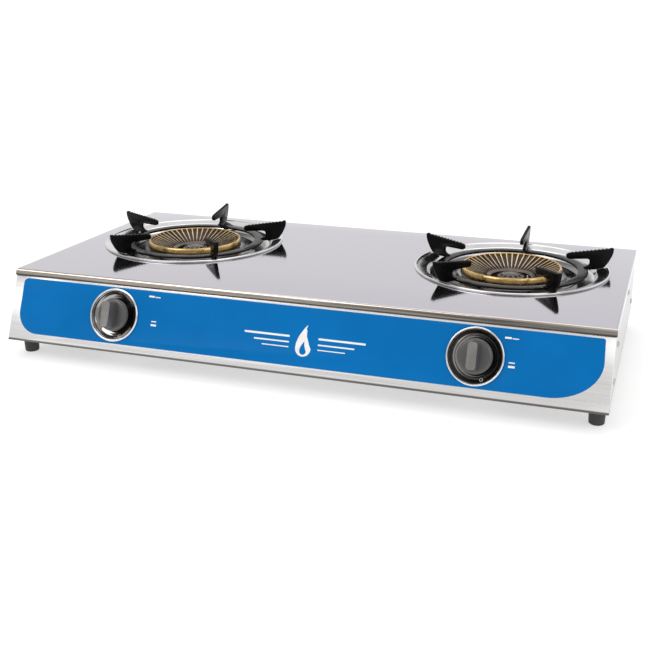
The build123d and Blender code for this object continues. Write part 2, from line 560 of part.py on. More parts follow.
for side, x in SIDES:
    section = burner_section(x)
    axis = burner_axis(x)

    with BuildPart() as burner_body:
        with BuildSketch(section):
            with BuildLine():
                Polyline((0, -68), (17, -68), (17, -40), (57, -27), (HEAD_RADIUS, -24),
                         (HEAD_RADIUS, HEAD_TOP), (HEAD_BORE, HEAD_TOP), (HEAD_BORE, -23), (27, -23),
                         (27, INNER_SEAT),
                         (23.5, INNER_SEAT), (23.5, -17), (16.5, -17), (16.5, INNER_SEAT), (0, INNER_SEAT),
                         close=True)
            make_face()
        revolve(axis=axis)
        with BuildSketch(Plane.XZ.offset(-MOUTH_Y)):
            with Locations((x, TUBE_Z)):
                Circle(MOUTH_RADIUS)
        extrude(amount=-MOUTH_LENGTH)
        with BuildSketch(Plane.XZ.offset(-(MOUTH_Y + MOUTH_LENGTH))):
            with Locations((x, TUBE_Z)):
                Circle(TUBE_RADIUS)
        extrude(amount=-(BURNER_Y - MOUTH_Y - MOUTH_LENGTH))
        with BuildSketch(Plane.XY.offset(SUPPORT_TOP)):
            with Locations((x, BURNER_Y)):
                Rectangle(24, 24)
            with Locations((x, LEG_FRONT_Y)):
                Rectangle(18, 12)
        extrude(amount=6)
        with BuildSketch(Plane.XZ.offset(-(MOUTH_Y + 2))):
            with Locations((x, TUBE_Z)):
                Circle(MOUTH_RADIUS - 2)
        extrude(amount=-(MOUTH_LENGTH - 4), mode=Mode.SUBTRACT)
        with BuildSketch(Plane.XZ.offset(-(MOUTH_Y + 2))):
            with Locations((x, TUBE_Z)):
                Circle(9)
        extrude(amount=-(BURNER_Y - MOUTH_Y - 2), mode=Mode.SUBTRACT)
        with BuildSketch(Plane.XZ.offset(-(MOUTH_Y - 1))):
            with Locations((x, TUBE_Z)):
                Circle(4.6)
        extrude(amount=-6, mode=Mode.SUBTRACT)
        with BuildSketch(side_view(x)):
            with Locations((MOUTH_Y + 8.5, TUBE_Z)):
                Rectangle(8, 11)
        extrude(amount=30, both=True, mode=Mode.SUBTRACT)
        with BuildSketch(Plane.XY.offset(TUBE_Z)):
            with Locations((x, BURNER_Y)):
                Circle(9)
        extrude(amount=TOP_Z - TUBE_Z, mode=Mode.SUBTRACT)
        with BuildSketch(Plane.XY.offset(TOP_Z - 36)):
            with Locations((x, BURNER_Y)):
                Circle(13)
        extrude(amount=36, mode=Mode.SUBTRACT)
        for turn in (45, 135, 225, 315):
            heading = (math.cos(math.radians(turn)), math.sin(math.radians(turn)), 0)
            passage = Plane(origin=(x, BURNER_Y, TOP_Z - 27), z_dir=heading)
            with BuildSketch(passage.offset(11)):
                Circle(3.2)
            with BuildSketch(Plane(origin=(x + 30 * heading[0], BURNER_Y + 30 * heading[1], TOP_Z - 20),
                                   z_dir=heading)):
                Circle(3.2)
            loft(mode=Mode.SUBTRACT)
        with BuildSketch(Plane.XY.offset(ELECTRODE_BOTTOM - 5)):
            with Locations((x + ELECTRODE_RADIUS, BURNER_Y)):
                Circle(CERAMIC_RADIUS + 0.3)
        extrude(amount=60, mode=Mode.SUBTRACT)
        with BuildSketch(Plane.XY.offset(SUPPORT_TOP)):
            with Locations((x, LEG_FRONT_Y), (x, BURNER_Y)):
                Circle(SCREW_RADIUS + SLIP)
        extrude(amount=4.5, mode=Mode.SUBTRACT)
    save(burner_body.part, f"burner_body_{side}")

    with BuildPart() as burner_cap:
        with BuildSketch(section):
            with BuildLine():
                Polyline((CAP_RADIUS, HEAD_TOP), (CAP_RADIUS, CAP_RIM - 1.3), (CAP_RADIUS - 1.2, CAP_RIM),
                         (58.5, CAP_RIM), (24, -10), (24, INNER_SEAT), (27, INNER_SEAT), (27, -12.2),
                         (50.5, -3), (50.5, -11), (HEAD_BORE - 0.4, -11), (HEAD_BORE - 0.4, HEAD_TOP),
                         close=True)
            make_face()
        revolve(axis=axis)
        with BuildSketch(Plane.XY.offset(TOP_Z - 16)):
            with Locations((x, BURNER_Y)):
                with PolarLocations(39.5, CAP_SLOTS):
                    Rectangle(19, 1.6)
        extrude(amount=20, mode=Mode.SUBTRACT)
    save(burner_cap.part, f"burner_cap_{side}")

    with BuildPart() as center_cap:
        with BuildSketch(section):
            with BuildLine():
                Polyline((0, -6.5), (7, -6.5), (13, -7.6), (CENTER_CAP_RADIUS, -10),
                         (CENTER_CAP_RADIUS, INNER_SEAT), (12.6, INNER_SEAT), (12.6, -18), (10, -18),
                         (10, -11), (0, -11), close=True)
            make_face()
        revolve(axis=axis)
        with BuildSketch(Plane.XY.offset(TOP_Z - 20)):
            with Locations((x, BURNER_Y)):
                with PolarLocations(8.5, 12):
                    Circle(0.9)
        extrude(amount=20, mode=Mode.SUBTRACT)
    save(center_cap.part, f"center_cap_{side}")

    with BuildPart() as air_shutter:
        with BuildSketch(Plane.XZ.offset(-(MOUTH_Y + 1.5))):
            with Locations((x, TUBE_Z)):
                Circle(MOUTH_RADIUS + 1.4)
                Circle(MOUTH_RADIUS + SHUTTER_CLEARANCE, mode=Mode.SUBTRACT)
        extrude(amount=-14)
        with BuildSketch(side_view(x)):
            with Locations((MOUTH_Y + 8.5, TUBE_Z)):
                Rectangle(8, 11)
        extrude(amount=30, both=True, mode=Mode.SUBTRACT)
        with BuildSketch(Plane.XZ.offset(-(MOUTH_Y + 1.5))):
            with Locations((x, TUBE_Z + MOUTH_RADIUS + 4)):
                Rectangle(6, 6)
        extrude(amount=-1.5)
    save(air_shutter.part, f"air_shutter_{side}")

    electrode_x = x + ELECTRODE_RADIUS
    with BuildPart() as electrode:
        with BuildSketch(Plane.XY.offset(ELECTRODE_BOTTOM)):
            with Locations((electrode_x, BURNER_Y)):
                Circle(CERAMIC_RADIUS)
        extrude(amount=TOP_Z - 12 - ELECTRODE_BOTTOM)
        with BuildSketch(Plane.XY.offset(TOP_Z - 12)):
            with Locations((electrode_x, BURNER_Y)):
                Circle(0.6)
        extrude(amount=4)
    save(electrode.part, f"electrode_{side}")

    lead_x = x + IGNITER_NEAR + IGNITER_SIZE / 2
    lead_start = Vector(face_point(lead_x, KNOB_UP_FACE, LEAD_OUT))
    inward = Vector(0, LEAN_COS, -LEAN_SIN)
    lead_points = (lead_start, lead_start + inward * 18, Vector(electrode_x, FRONT_Y + 112, 37.0),
                   Vector(electrode_x + 1, BURNER_Y - 62, 40), Vector(electrode_x, BURNER_Y - 24, 38.5),
                   Vector(electrode_x, BURNER_Y, 38), Vector(electrode_x, BURNER_Y, ELECTRODE_BOTTOM))
    with BuildPart() as ignition_lead:
        with BuildLine() as lead_path:
            FilletPolyline(*lead_points, radius=8)
        with BuildSketch(Plane(origin=lead_start, z_dir=inward)):
            Circle(LEAD_RADIUS)
        sweep()
    save(ignition_lead.part, f"ignition_lead_{side}")

with BuildPart() as burner_screws:
    for _, x in SIDES:
        for y in (LEG_FRONT_Y, BURNER_Y):
            with BuildSketch(Plane.XY.offset(SUPPORT_TOP - SHEET - 2.4)):
                with Locations((x, y)):
                    Circle(SCREW_HEAD_RADIUS)
            extrude(amount=2.4)
            with BuildSketch(Plane.XY.offset(SUPPORT_TOP - SHEET)):
                with Locations((x, y)):
                    Circle(SCREW_RADIUS)
            extrude(amount=5)
save(burner_screws.part, "burner_screws")

# ================================================================ drip pans and pot supports
for side, x in SIDES:
    section = burner_section(x)
    axis = burner_axis(x)

    with BuildPart() as drip_pan:
        with BuildSketch(section):
            with BuildLine():
                Polyline((PAN_RADIUS, 0), (PAN_RADIUS, 1.9), (PAN_RADIUS - 0.9, 2.8),
                         (PAN_RADIUS - 2.4, 2.8), (PAN_RADIUS - 3.5, 1.6), (104, -1.2), (99.5, -8.6),
                         (66.5, -9.4), (65.3, -6.5), (64.5, -6.5), (65.9, -10.2), (99, -9.5),
                         (103.4, -2.2), (111.4, 0), close=True)
            make_face()
        revolve(axis=axis)
    save(drip_pan.part, f"drip_pan_{side}")

    turn = SUPPORT_TURN[side]
    with BuildPart() as support_ring:
        with BuildSketch(Plane.XY.offset(TOP_Z + RING_BOTTOM)):
            with Locations((x, BURNER_Y)):
                Circle(RING_OUTER)
                Circle(RING_INNER, mode=Mode.SUBTRACT)
                with PolarLocations(ARM_FOOT_RADIUS + 10, ARM_COUNT, start_angle=turn):
                    Rectangle(20, ARM_THICKNESS, mode=Mode.SUBTRACT)
        extrude(amount=RING_THICKNESS)
    save(support_ring.part, f"support_ring_{side}")

    with BuildPart() as support_arms:
        for index in range(ARM_COUNT):
            angle = math.radians(turn + index * 360 / ARM_COUNT)
            outward = (math.cos(angle), math.sin(angle), 0)
            arm_plane = Plane(origin=(x, BURNER_Y, TOP_Z), x_dir=outward,
                              z_dir=(math.sin(angle), -math.cos(angle), 0))
            with BuildSketch(arm_plane):
                with BuildLine():
                    teeth = []
                    for tooth in range(ARM_TEETH):
                        share = tooth / ARM_TEETH
                        radius = ARM_TIP_RADIUS - 4 + share * (ARM_END_RADIUS + 6 - ARM_TIP_RADIUS)
                        height = ARM_TIP_Z - 0.4 + share * (ARM_END_Z - ARM_TIP_Z)
                        teeth += [(radius, height), (radius - 1.4, height - 1.3)]
                    outline = [(ARM_FOOT_RADIUS, RING_BOTTOM), (103.8, -1.1), (112.5, 1.3), (117.5, 8),
                               (121.5, 16), (ARM_TIP_RADIUS, ARM_TIP_Z - 1.5),
                               (ARM_TIP_RADIUS - 1.5, ARM_TIP_Z)]
                    outline += teeth
                    outline += [(ARM_END_RADIUS + 3, ARM_END_Z - 0.6), (ARM_END_RADIUS, ARM_END_Z - 3.6),
                                (ARM_END_RADIUS + 0.4, ARM_BAR_BOTTOM + 2),
                                (ARM_END_RADIUS + 3, ARM_BAR_BOTTOM),
                                (ARM_LEG_RADIUS - 4, ARM_BAR_BOTTOM + 0.5),
                                (ARM_LEG_RADIUS, ARM_BAR_BOTTOM - 2),
                                (ARM_LEG_RADIUS, 6), (ARM_FOOT_RADIUS + 2, 2.5), (ARM_FOOT_RADIUS, 2.5)]
                    Polyline(*outline, close=True)
                make_face()
            extrude(amount=ARM_THICKNESS / 2, both=True)
    save(support_arms.part, f"support_arms_{side}")
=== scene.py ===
"""Two-burner camp stove: the visible model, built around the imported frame.

Everything is in metres, in the frame's own axes: +X to the user's right, +Y to the back, +Z up.
"""
import json
import math

import bmesh
import bpy
from mathutils import Matrix, Vector

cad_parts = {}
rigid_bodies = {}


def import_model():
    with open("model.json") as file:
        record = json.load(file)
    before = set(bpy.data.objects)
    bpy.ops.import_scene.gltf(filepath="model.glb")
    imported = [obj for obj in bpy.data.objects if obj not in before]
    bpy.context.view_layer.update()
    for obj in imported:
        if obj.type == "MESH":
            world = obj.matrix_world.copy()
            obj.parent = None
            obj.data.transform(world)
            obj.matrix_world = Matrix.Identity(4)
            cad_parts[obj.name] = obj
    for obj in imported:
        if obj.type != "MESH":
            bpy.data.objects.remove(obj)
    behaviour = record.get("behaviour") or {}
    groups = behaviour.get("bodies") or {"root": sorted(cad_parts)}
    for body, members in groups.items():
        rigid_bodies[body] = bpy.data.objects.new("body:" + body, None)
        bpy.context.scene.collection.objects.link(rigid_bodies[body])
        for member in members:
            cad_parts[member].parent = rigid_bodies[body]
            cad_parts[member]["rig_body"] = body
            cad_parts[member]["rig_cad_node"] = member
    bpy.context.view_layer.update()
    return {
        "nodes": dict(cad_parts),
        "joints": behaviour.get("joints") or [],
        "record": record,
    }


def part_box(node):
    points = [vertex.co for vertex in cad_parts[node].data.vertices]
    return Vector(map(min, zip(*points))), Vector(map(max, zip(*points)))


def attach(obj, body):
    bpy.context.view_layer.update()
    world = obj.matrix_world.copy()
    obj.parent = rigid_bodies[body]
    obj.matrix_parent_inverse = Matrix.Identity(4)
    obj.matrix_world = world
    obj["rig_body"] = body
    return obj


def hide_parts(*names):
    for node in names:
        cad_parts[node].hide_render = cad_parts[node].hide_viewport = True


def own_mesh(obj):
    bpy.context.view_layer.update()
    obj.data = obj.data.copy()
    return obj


bl_info = {
    "name": "Camp Stove",
    "version": (1, 0, 0),
    "blender": (4, 5, 0),
    "location": "View3D > Sidebar > Stove",
    "description": "Models and finishes a two-burner stainless table-top camp stove around its CAD frame",
    "category": "Object",
}

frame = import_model()
NODES = frame["nodes"]
JOINTS = {joint["name"]: joint for joint in frame["joints"]}
SIDES = ("left", "right")
MM = 0.001


# -------------------- places read from the frame
def middle_of(node):
    low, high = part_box(node)
    return (low + high) / 2


COVER_LOW, COVER_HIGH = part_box("top_cover")
PANEL_LOW, PANEL_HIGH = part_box("front_panel")
TOP_Z = COVER_HIGH.z
PAN_RADIUS = (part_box("drip_pan_left")[1].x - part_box("drip_pan_left")[0].x) / 2
BURNERS = {side: Vector((*middle_of(f"burner_cap_{side}").xy, TOP_Z)) for side in SIDES}
KNOBS = {side: Vector(JOINTS[f"knob_{side}_turn"]["pos_m"]) for side in SIDES}
FACE_NORMAL = Vector(JOINTS["knob_left_turn"]["axis"]).normalized()
FACE_UP = Vector((0, FACE_NORMAL.z, -FACE_NORMAL.y))
FACE_TILT = math.atan2(-FACE_NORMAL.y, FACE_NORMAL.z)


# -------------------- settings shown in the sidebar
class StoveSizes(bpy.types.PropertyGroup):
    """Sizes of the modelled details."""

    lathe_steps: bpy.props.IntProperty(
        name="Lathe Steps", description="Segments round a turned piece", default=144, min=24, max=360)
    cap_ribs: bpy.props.IntProperty(
        name="Cap Ribs", description="Ribs round the dish of each burner cap", default=48, min=12, max=60)
    rib_height: bpy.props.FloatProperty(
        name="Groove Depth", description="Depth of the grooves between the cap's ribs",
        default=1.7 * MM, unit="LENGTH", precision=5)
    cover_bend: bpy.props.FloatProperty(
        name="Cover Bend", description="Radius of the bend round the top cover",
        default=2.6 * MM, unit="LENGTH", precision=5)
    cover_sheet: bpy.props.FloatProperty(
        name="Cover Sheet", description="Thickness of the top cover's sheet",
        default=1.0 * MM, unit="LENGTH", precision=5)
    arm_thickness: bpy.props.FloatProperty(
        name="Arm Thickness", description="Thickness of a pot support's arm",
        default=4.0 * MM, unit="LENGTH", precision=5)
    front_drop: bpy.props.FloatProperty(
        name="Front Drop", description="How far the front panel's edge is rolled down below the sides",
        default=2.5 * MM, unit="LENGTH", precision=5)
    tooth_pitch: bpy.props.FloatProperty(
        name="Tooth Pitch", description="Distance between the teeth along an arm",
        default=4.6 * MM, unit="LENGTH", precision=5)
    mark_height: bpy.props.FloatProperty(
        name="Mark Thickness", description="Thickness of the printed marks",
        default=0.12 * MM, unit="LENGTH", precision=6)


class StoveColours(bpy.types.PropertyGroup):
    """Colours of the finishes."""

    blue: bpy.props.FloatVectorProperty(
        name="Fascia Blue", description="Printed blue of the front", subtype="COLOR", size=3,
        default=(0.0002, 0.146, 0.43), min=0, max=1)
    steel: bpy.props.FloatVectorProperty(
        name="Polished Steel", description="Mirror-polished top", subtype="COLOR", size=3,
        default=(0.515, 0.497, 0.54), min=0, max=1)
    case: bpy.props.FloatVectorProperty(
        name="Case Steel", description="Satin sheet of the case", subtype="COLOR", size=3,
        default=(0.80, 0.80, 0.80), min=0, max=1)
    brass: bpy.props.FloatVectorProperty(
        name="Cap Brass", description="Bright brass of the burner caps", subtype="COLOR", size=3,
        default=(0.78, 0.56, 0.24), min=0, max=1)
    enamel: bpy.props.FloatVectorProperty(
        name="Enamel", description="Black enamel of the pot supports", subtype="COLOR", size=3,
        default=(0.004, 0.0037, 0.004), min=0, max=1)
    knob: bpy.props.FloatVectorProperty(
        name="Knob Grey", description="Moulded plastic of the knobs", subtype="COLOR", size=3,
        default=(0.07, 0.07, 0.072), min=0, max=1)


# -------------------- modelling helpers
def deselect_everything():
    if bpy.context.mode != "OBJECT":
        bpy.ops.object.mode_set(mode="OBJECT")
    bpy.ops.object.select_all(action="DESELECT")


def activate(obj):
    deselect_everything()
    obj.select_set(True)
    bpy.context.view_layer.objects.active = obj


def edit(obj):
    """Enter edit mode on a piece with nothing selected."""
    activate(obj)
    bpy.ops.object.mode_set(mode="EDIT")
    bpy.ops.mesh.select_mode(type="VERT")
    bpy.ops.mesh.select_all(action="DESELECT")


def leave_edit():
    bpy.ops.object.mode_set(mode="OBJECT")


def select_all():
    bpy.ops.mesh.select_all(action="SELECT")


def pick(obj, kind, test):
    """Select the verts, edges or faces of the edited piece that pass a test."""
    bpy.ops.mesh.select_mode(type={"verts": "VERT", "edges": "EDGE", "faces": "FACE"}[kind])
    mesh = bmesh.from_edit_mesh(obj.data)
    mesh.normal_update()
    for layer in (mesh.verts, mesh.edges, mesh.faces):
        for item in layer:
            item.select = False
    chosen = [item for item in getattr(mesh, kind) if test(item)]
    for item in chosen:
        item.select_set(True)
    mesh.select_flush_mode()
    bmesh.update_edit_mesh(obj.data)
    if not chosen:
        raise RuntimeError(f"{obj.name}: no {kind} were found to select")


def apply_transform():
    bpy.ops.object.transform_apply(location=True, rotation=True, scale=True)


def add_box(name, middle, size, turn=0.0):
    """A box at its place, with its size in its mesh."""
    deselect_everything()
    bpy.ops.mesh.primitive_cube_add(size=1, location=middle, rotation=(0, 0, turn), scale=size)
    box = bpy.context.object
    box.name = name
    apply_transform()
    return box


def add_modifier(obj, kind, **settings):
    """Add a modifier with its settings and apply it."""
    activate(obj)
    modifier = obj.modifiers.new(kind.title(), kind)
    for key, value in settings.items():
        setattr(modifier, key, value)
    bpy.ops.object.modifier_apply(modifier=modifier.name)


def bevel_edges(obj, width, segments=3, angle=30.0):
    add_modifier(obj, "BEVEL", width=width, segments=segments, limit_method="ANGLE",
                 angle_limit=math.radians(angle), harden_normals=False, use_clamp_overlap=True)


def draw_outline(name, points, closed, rounding=0.0):
    """Draw (x, z) points in millimetres as a chain of edges, and round its corners."""
    points = [(across * MM, up * MM) for across, up in points]
    deselect_everything()
    bpy.ops.mesh.primitive_plane_add(size=1 * MM, location=(0, 0, 0))
    obj = bpy.context.object
    obj.name = name
    edit(obj)
    select_all()
    bpy.ops.mesh.merge(type="CENTER")
    bpy.ops.transform.translate(value=(points[0][0], 0, points[0][1]))
    for start, end in zip(points, points[1:]):
        bpy.ops.mesh.extrude_vertices_move(
            TRANSFORM_OT_translate={"value": (end[0] - start[0], 0, end[1] - start[1])})
    if closed:
        pick(obj, "verts", lambda v: len(v.link_edges) == 1)
        bpy.ops.mesh.edge_face_add()
    if rounding:
        pick(obj, "verts", lambda v: len(v.link_edges) == 2)
        bpy.ops.mesh.bevel(offset=rounding * MM, segments=3, affect="VERTICES", clamp_overlap=True)
        select_all()
        bpy.ops.mesh.remove_doubles(threshold=1e-6)
    leave_edit()
    return obj


def turn_on_lathe(name, points, rounding=0.0, closed=True, steps=None):
    """Spin (radius, height) points in millimetres about Z into a closed turned piece at the origin."""
    obj = draw_outline(name, points, closed, rounding)
    edit(obj)
    select_all()
    steps = steps or bpy.context.scene.stove_sizes.lathe_steps
    bpy.ops.mesh.spin(steps=steps, angle=2 * math.pi, center=(0, 0, 0), axis=(0, 0, 1))
    select_all()
    bpy.ops.mesh.remove_doubles(threshold=2e-6)
    bpy.ops.mesh.normals_make_consistent(inside=False)
    leave_edit()
    return obj


def place(obj, origin, on_face=False):
    """Move a piece made at the origin to its place, tipped onto the sloping front if asked."""
    obj.location = origin
    if on_face:
        obj.rotation_euler = (FACE_TILT, 0, 0)
    activate(obj)
    apply_transform()


def join(name, pieces):
    activate(pieces[0])
    for piece in pieces:
        piece.select_set(True)
    bpy.ops.object.join()
    joined = bpy.context.object
    joined.name = name
    joined.data.name = name
    return joined


def copy_of(obj, name):
    twin = obj.copy()
    twin.data = obj.data.copy()
    twin.name = name
    twin.data.name = name
    bpy.context.scene.collection.objects.link(twin)
    return twin


def copy_of_node(node, name):
    """A free copy of a CAD node's mesh, with its loose triangles merged."""
    twin = copy_of(NODES[node], name)
    twin.parent = None
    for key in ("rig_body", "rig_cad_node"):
        if key in twin:
            del twin[key]
    twin.matrix_world = Matrix.Identity(4)
    edit(twin)
    select_all()
    bpy.ops.mesh.remove_doubles(threshold=1e-6)
    bpy.ops.mesh.dissolve_limited(angle_limit=math.radians(0.5))
    select_all()
    bpy.ops.mesh.normals_make_consistent(inside=False)
    leave_edit()
    return twin


def coat(obj, *finishes):
    for name in finishes:
        obj.data.materials.append(finish_named(name))


def assign_selected(index):
    """Give the selected faces the piece's finish of that number."""
    bpy.context.object.active_material_index = index
    bpy.ops.object.material_slot_assign()


def finish_piece(obj, finish, body, replaces=(), smooth=32.0):
    """Smooth a piece, coat it all over unless it has its own finishes, and hand it to the frame."""
    activate(obj)
    obj.data.name = obj.name
    bpy.ops.object.shade_smooth_by_angle(angle=math.radians(smooth))
    if finish:
        obj.data.materials.clear()
        coat(obj, finish)
    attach(obj, body)
    if replaces:
        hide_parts(*replaces)


# -------------------- finishes
class Finish:
    """A Principled material with procedural detail on Object coordinates."""

    def __init__(self, name, colour, metallic=0.0, roughness=0.5):
        self.material = bpy.data.materials.new(name)
        self.material.use_nodes = True
        self.nodes = self.material.node_tree.nodes
        self.links = self.material.node_tree.links
        self.shader = self.nodes["Principled BSDF"]
        self.shader.inputs["Base Color"].default_value = (*colour, 1)
        self.shader.inputs["Metallic"].default_value = metallic
        self.shader.inputs["Roughness"].default_value = roughness
        self.coordinates = self.nodes.new("ShaderNodeTexCoord")

    def set(self, node=None, **values):
        """Set a node's sockets, or the shader's, by name with underscores for spaces."""
        for key, value in values.items():
            (node or self.shader).inputs[key.replace("_", " ")].default_value = value

    def add(self, kind, **values):
        node = self.nodes.new(f"ShaderNode{kind}")
        self.set(node, **values)
        return node

    def mapped(self, scale=(1, 1, 1), location=(0, 0, 0)):
        mapping = self.add("Mapping", Scale=scale, Location=location)
        self.links.new(self.coordinates.outputs["Object"], mapping.inputs["Vector"])
        return mapping.outputs["Vector"]

    def noise(self, scale, detail=4.0, roughness=0.55, stretch=(1, 1, 1)):
        texture = self.add("TexNoise", Scale=scale, Detail=detail, Roughness=roughness)
        self.links.new(self.mapped(stretch), texture.inputs["Vector"])
        return texture.outputs["Fac"]

    def ramp(self, value, *stops):
        """Turn a value into colour with (position, colour) stops."""
        ramp = self.add("ValToRGB")
        elements = ramp.color_ramp.elements
        while len(elements) < len(stops):
            elements.new(0.5)
        for element, (position, colour) in zip(elements, stops):
            element.position = position
            element.color = (*colour, 1) if hasattr(colour, "__len__") else (colour, colour, colour, 1)
        self.links.new(value, ramp.inputs["Fac"])
        return ramp.outputs["Color"]

    def span(self, value, low, high, from_low=0.3, from_high=0.7):
        """Stretch a value's useful part over a new range."""
        span = self.add("MapRange", From_Min=from_low, From_Max=from_high, To_Min=low, To_Max=high)
        self.links.new(value, span.inputs["Value"])
        return span.outputs["Result"]

    def mix(self, factor, first, second, blend="MIX"):
        mix = self.add("Mix")
        mix.data_type = "RGBA"
        mix.blend_type = blend
        for socket, value in (("Factor", factor), ("A", first), ("B", second)):
            target = [s for s in mix.inputs if s.name == socket and s.enabled][0]
            if isinstance(value, bpy.types.NodeSocket):
                self.links.new(value, target)
            elif socket == "Factor":
                target.default_value = value
            else:
                target.default_value = (*value, 1)
        return [s for s in mix.outputs if s.enabled][0]

    def drive(self, socket, output):
        self.links.new(output, self.shader.inputs[socket])

    def roughen(self, value, low, high):
        """Let the gloss wander with a pattern."""
        self.drive("Roughness", self.span(value, low, high))

    def tint(self, value, low, high):
        """Let the colour wander with a pattern."""
        self.drive("Base Color", self.ramp(value, (0.3, low), (0.7, high)))

    def bump(self, height, strength, distance):
        bump = self.add("Bump", Strength=strength, Distance=distance)
        self.links.new(height, bump.inputs["Height"])
        self.links.new(bump.outputs["Normal"], self.shader.inputs["Normal"])

    def band(self, axis, low, high):
        """0 below a height, 1 above another, along one of the object's axes."""
        split = self.add("SeparateXYZ")
        self.links.new(self.coordinates.outputs["Object"], split.inputs["Vector"])
        return self.span(split.outputs[axis], 0, 1, low, high)

    def radius_from(self, center):
        """Distance from a burner's axis, in metres."""
        flat = self.add("VectorMath")
        flat.operation = "LENGTH"
        self.links.new(self.mapped((1, 1, 0), (-center.x, -center.y, 0)), flat.inputs[0])
        return flat.outputs["Value"]


def polished_steel():
    """Mirror-polished stainless: faint polishing lines, painted reflections as warm streaks along the front lip's
    bend, and a painted shadow line at the lip's lower edge.
    """
    colour = bpy.context.scene.stove_colours.steel
    finish = Finish("polished_steel", colour, 1.0, 0.08)
    # Painted reflections: warm and dark streaks in the base colour along the lip's bend, standing in for the
    # surroundings the bend reflects.
    painted_reflection_streaks = finish.ramp(finish.noise(9, 5, 0.65, (0.35, 1, 26)), (0.34, (0.16, 0.145, 0.13)),
                          (0.48, (0.42, 0.39, 0.36)), (0.56, (0.60, 0.53, 0.45)), (0.68, (0.78, 0.76, 0.75)))
    on_lip = finish.band("Z", TOP_Z - 0.35 * MM, TOP_Z - 0.1 * MM)
    # Painted shadow: a dark line in the base colour along the lip's lower edge.
    above_painted_shadow_line = finish.band("Z", COVER_LOW.z + 0.7 * MM, COVER_LOW.z + 1.9 * MM)
    lip = finish.mix(above_painted_shadow_line, (0.09, 0.08, 0.072), painted_reflection_streaks)
    behind_lip = finish.band("Y", COVER_LOW.y + 3 * MM, COVER_LOW.y + 4 * MM)
    finish.drive("Base Color", finish.mix(behind_lip, finish.mix(on_lip, lip, colour), colour))
    finish.roughen(finish.noise(9, 3), 0.055, 0.12)
    finish.bump(finish.noise(60, 2, 0.5, (0.12, 12, 12)), 0.03, 0.0002)
    return finish


def satin_steel(name="case_steel", shade=1.0, bottom=PANEL_LOW.z):
    """Bright satin stainless with a fine grain along the sheet, and a painted dark reflection along the folded bottom
    edge.
    """
    finish = Finish(name, bpy.context.scene.stove_colours.case, 1.0, 0.3)
    grain = finish.noise(120, 3, 0.6, (0.06, 10, 10))
    # shade scales the sheet's colour: a value below 1 makes a darker copy of the same steel, a painted shade.
    sheet = finish.ramp(grain, (0.3, 0.84 * shade), (0.7, 0.93 * shade))
    # Painted dark reflection: the bottom fold is coloured dark where it would reflect the shadow on the floor.
    above_painted_dark_fold = finish.band("Z", bottom + 1.8 * MM, bottom + 3.0 * MM)
    finish.drive("Base Color", finish.mix(above_painted_dark_fold, (0.16, 0.15, 0.145), sheet))
    finish.roughen(grain, 0.26, 0.36)
    finish.bump(grain, 0.03, 0.0002)
    return finish


def pressed_steel(side):
    """Bright pressed stainless, with painted dark reflection and shade in the trough."""
    finish = Finish(f"pan_steel_{side}", (0.66, 0.65, 0.66), 1.0, 0.14)
    clouds = finish.noise(28, 4)
    rim = finish.ramp(clouds, (0.25, (0.58, 0.57, 0.57)), (0.75, (0.72, 0.71, 0.72)))
    # Painted reflection and shade: the trough inside the rim is coloured near-black, for the dark parts it reflects
    # and the shade round the burner.
    painted_dark_trough = finish.ramp(clouds, (0.3, (0.085, 0.08, 0.078)), (0.7, (0.17, 0.16, 0.155)))
    outside = finish.span(finish.radius_from(BURNERS[side]), 0, 1, 0.0935, 0.0985)
    finish.drive("Base Color", finish.mix(outside, painted_dark_trough, rim))
    finish.roughen(clouds, 0.09, 0.24)
    return finish


def blue_print():
    """Printed blue film: smooth and glossy, with the slightest unevenness."""
    colour = bpy.context.scene.stove_colours.blue
    finish = Finish("blue_print", colour, 0.0, 0.36)
    finish.set(Specular_IOR_Level=0.08)
    shade = finish.noise(14, 2)
    darker = tuple(channel * 0.93 for channel in colour)
    lighter = tuple(min(1.0, channel * 1.05) for channel in colour)
    finish.tint(shade, darker, lighter)
    finish.bump(finish.noise(900, 2), 0.03, 0.00005)
    return finish


def white_print():
    finish = Finish("white_print", (0.85, 0.87, 0.9), 0.0, 0.4)
    finish.tint(finish.noise(60), 0.78, 0.9)
    return finish


def grip_plastic():
    """The grip bar's front, a lighter copy of the knob plastic as painted light."""
    finish = Finish("grip_plastic", (0.17, 0.165, 0.16), 0.0, 0.3)
    finish.set(Coat_Weight=0.3, Coat_Roughness=0.2)
    texture = finish.noise(1600, 2)
    finish.tint(finish.noise(40, 3), (0.13, 0.125, 0.12), (0.23, 0.22, 0.21))
    finish.bump(texture, 0.1, 0.00005)
    return finish


def knob_plastic():
    """Satin moulded plastic with a fine spark-eroded texture."""
    colour = bpy.context.scene.stove_colours.knob
    finish = Finish("knob_plastic", colour, 0.0, 0.34)
    finish.set(Coat_Weight=0.25, Coat_Roughness=0.2)
    texture = finish.noise(1600, 2)
    finish.roughen(texture, 0.28, 0.42)
    finish.bump(texture, 0.12, 0.00005)
    return finish


def black_enamel():
    """Glossy vitreous enamel with a slight orange peel."""
    finish = Finish("black_enamel", bpy.context.scene.stove_colours.enamel, 0.0, 0.22)
    finish.set(Specular_IOR_Level=0.08, Coat_Weight=0.04, Coat_Roughness=0.1)
    peel = finish.noise(110, 2)
    finish.roughen(peel, 0.16, 0.36)
    finish.bump(peel, 0.06, 0.0002)
    return finish


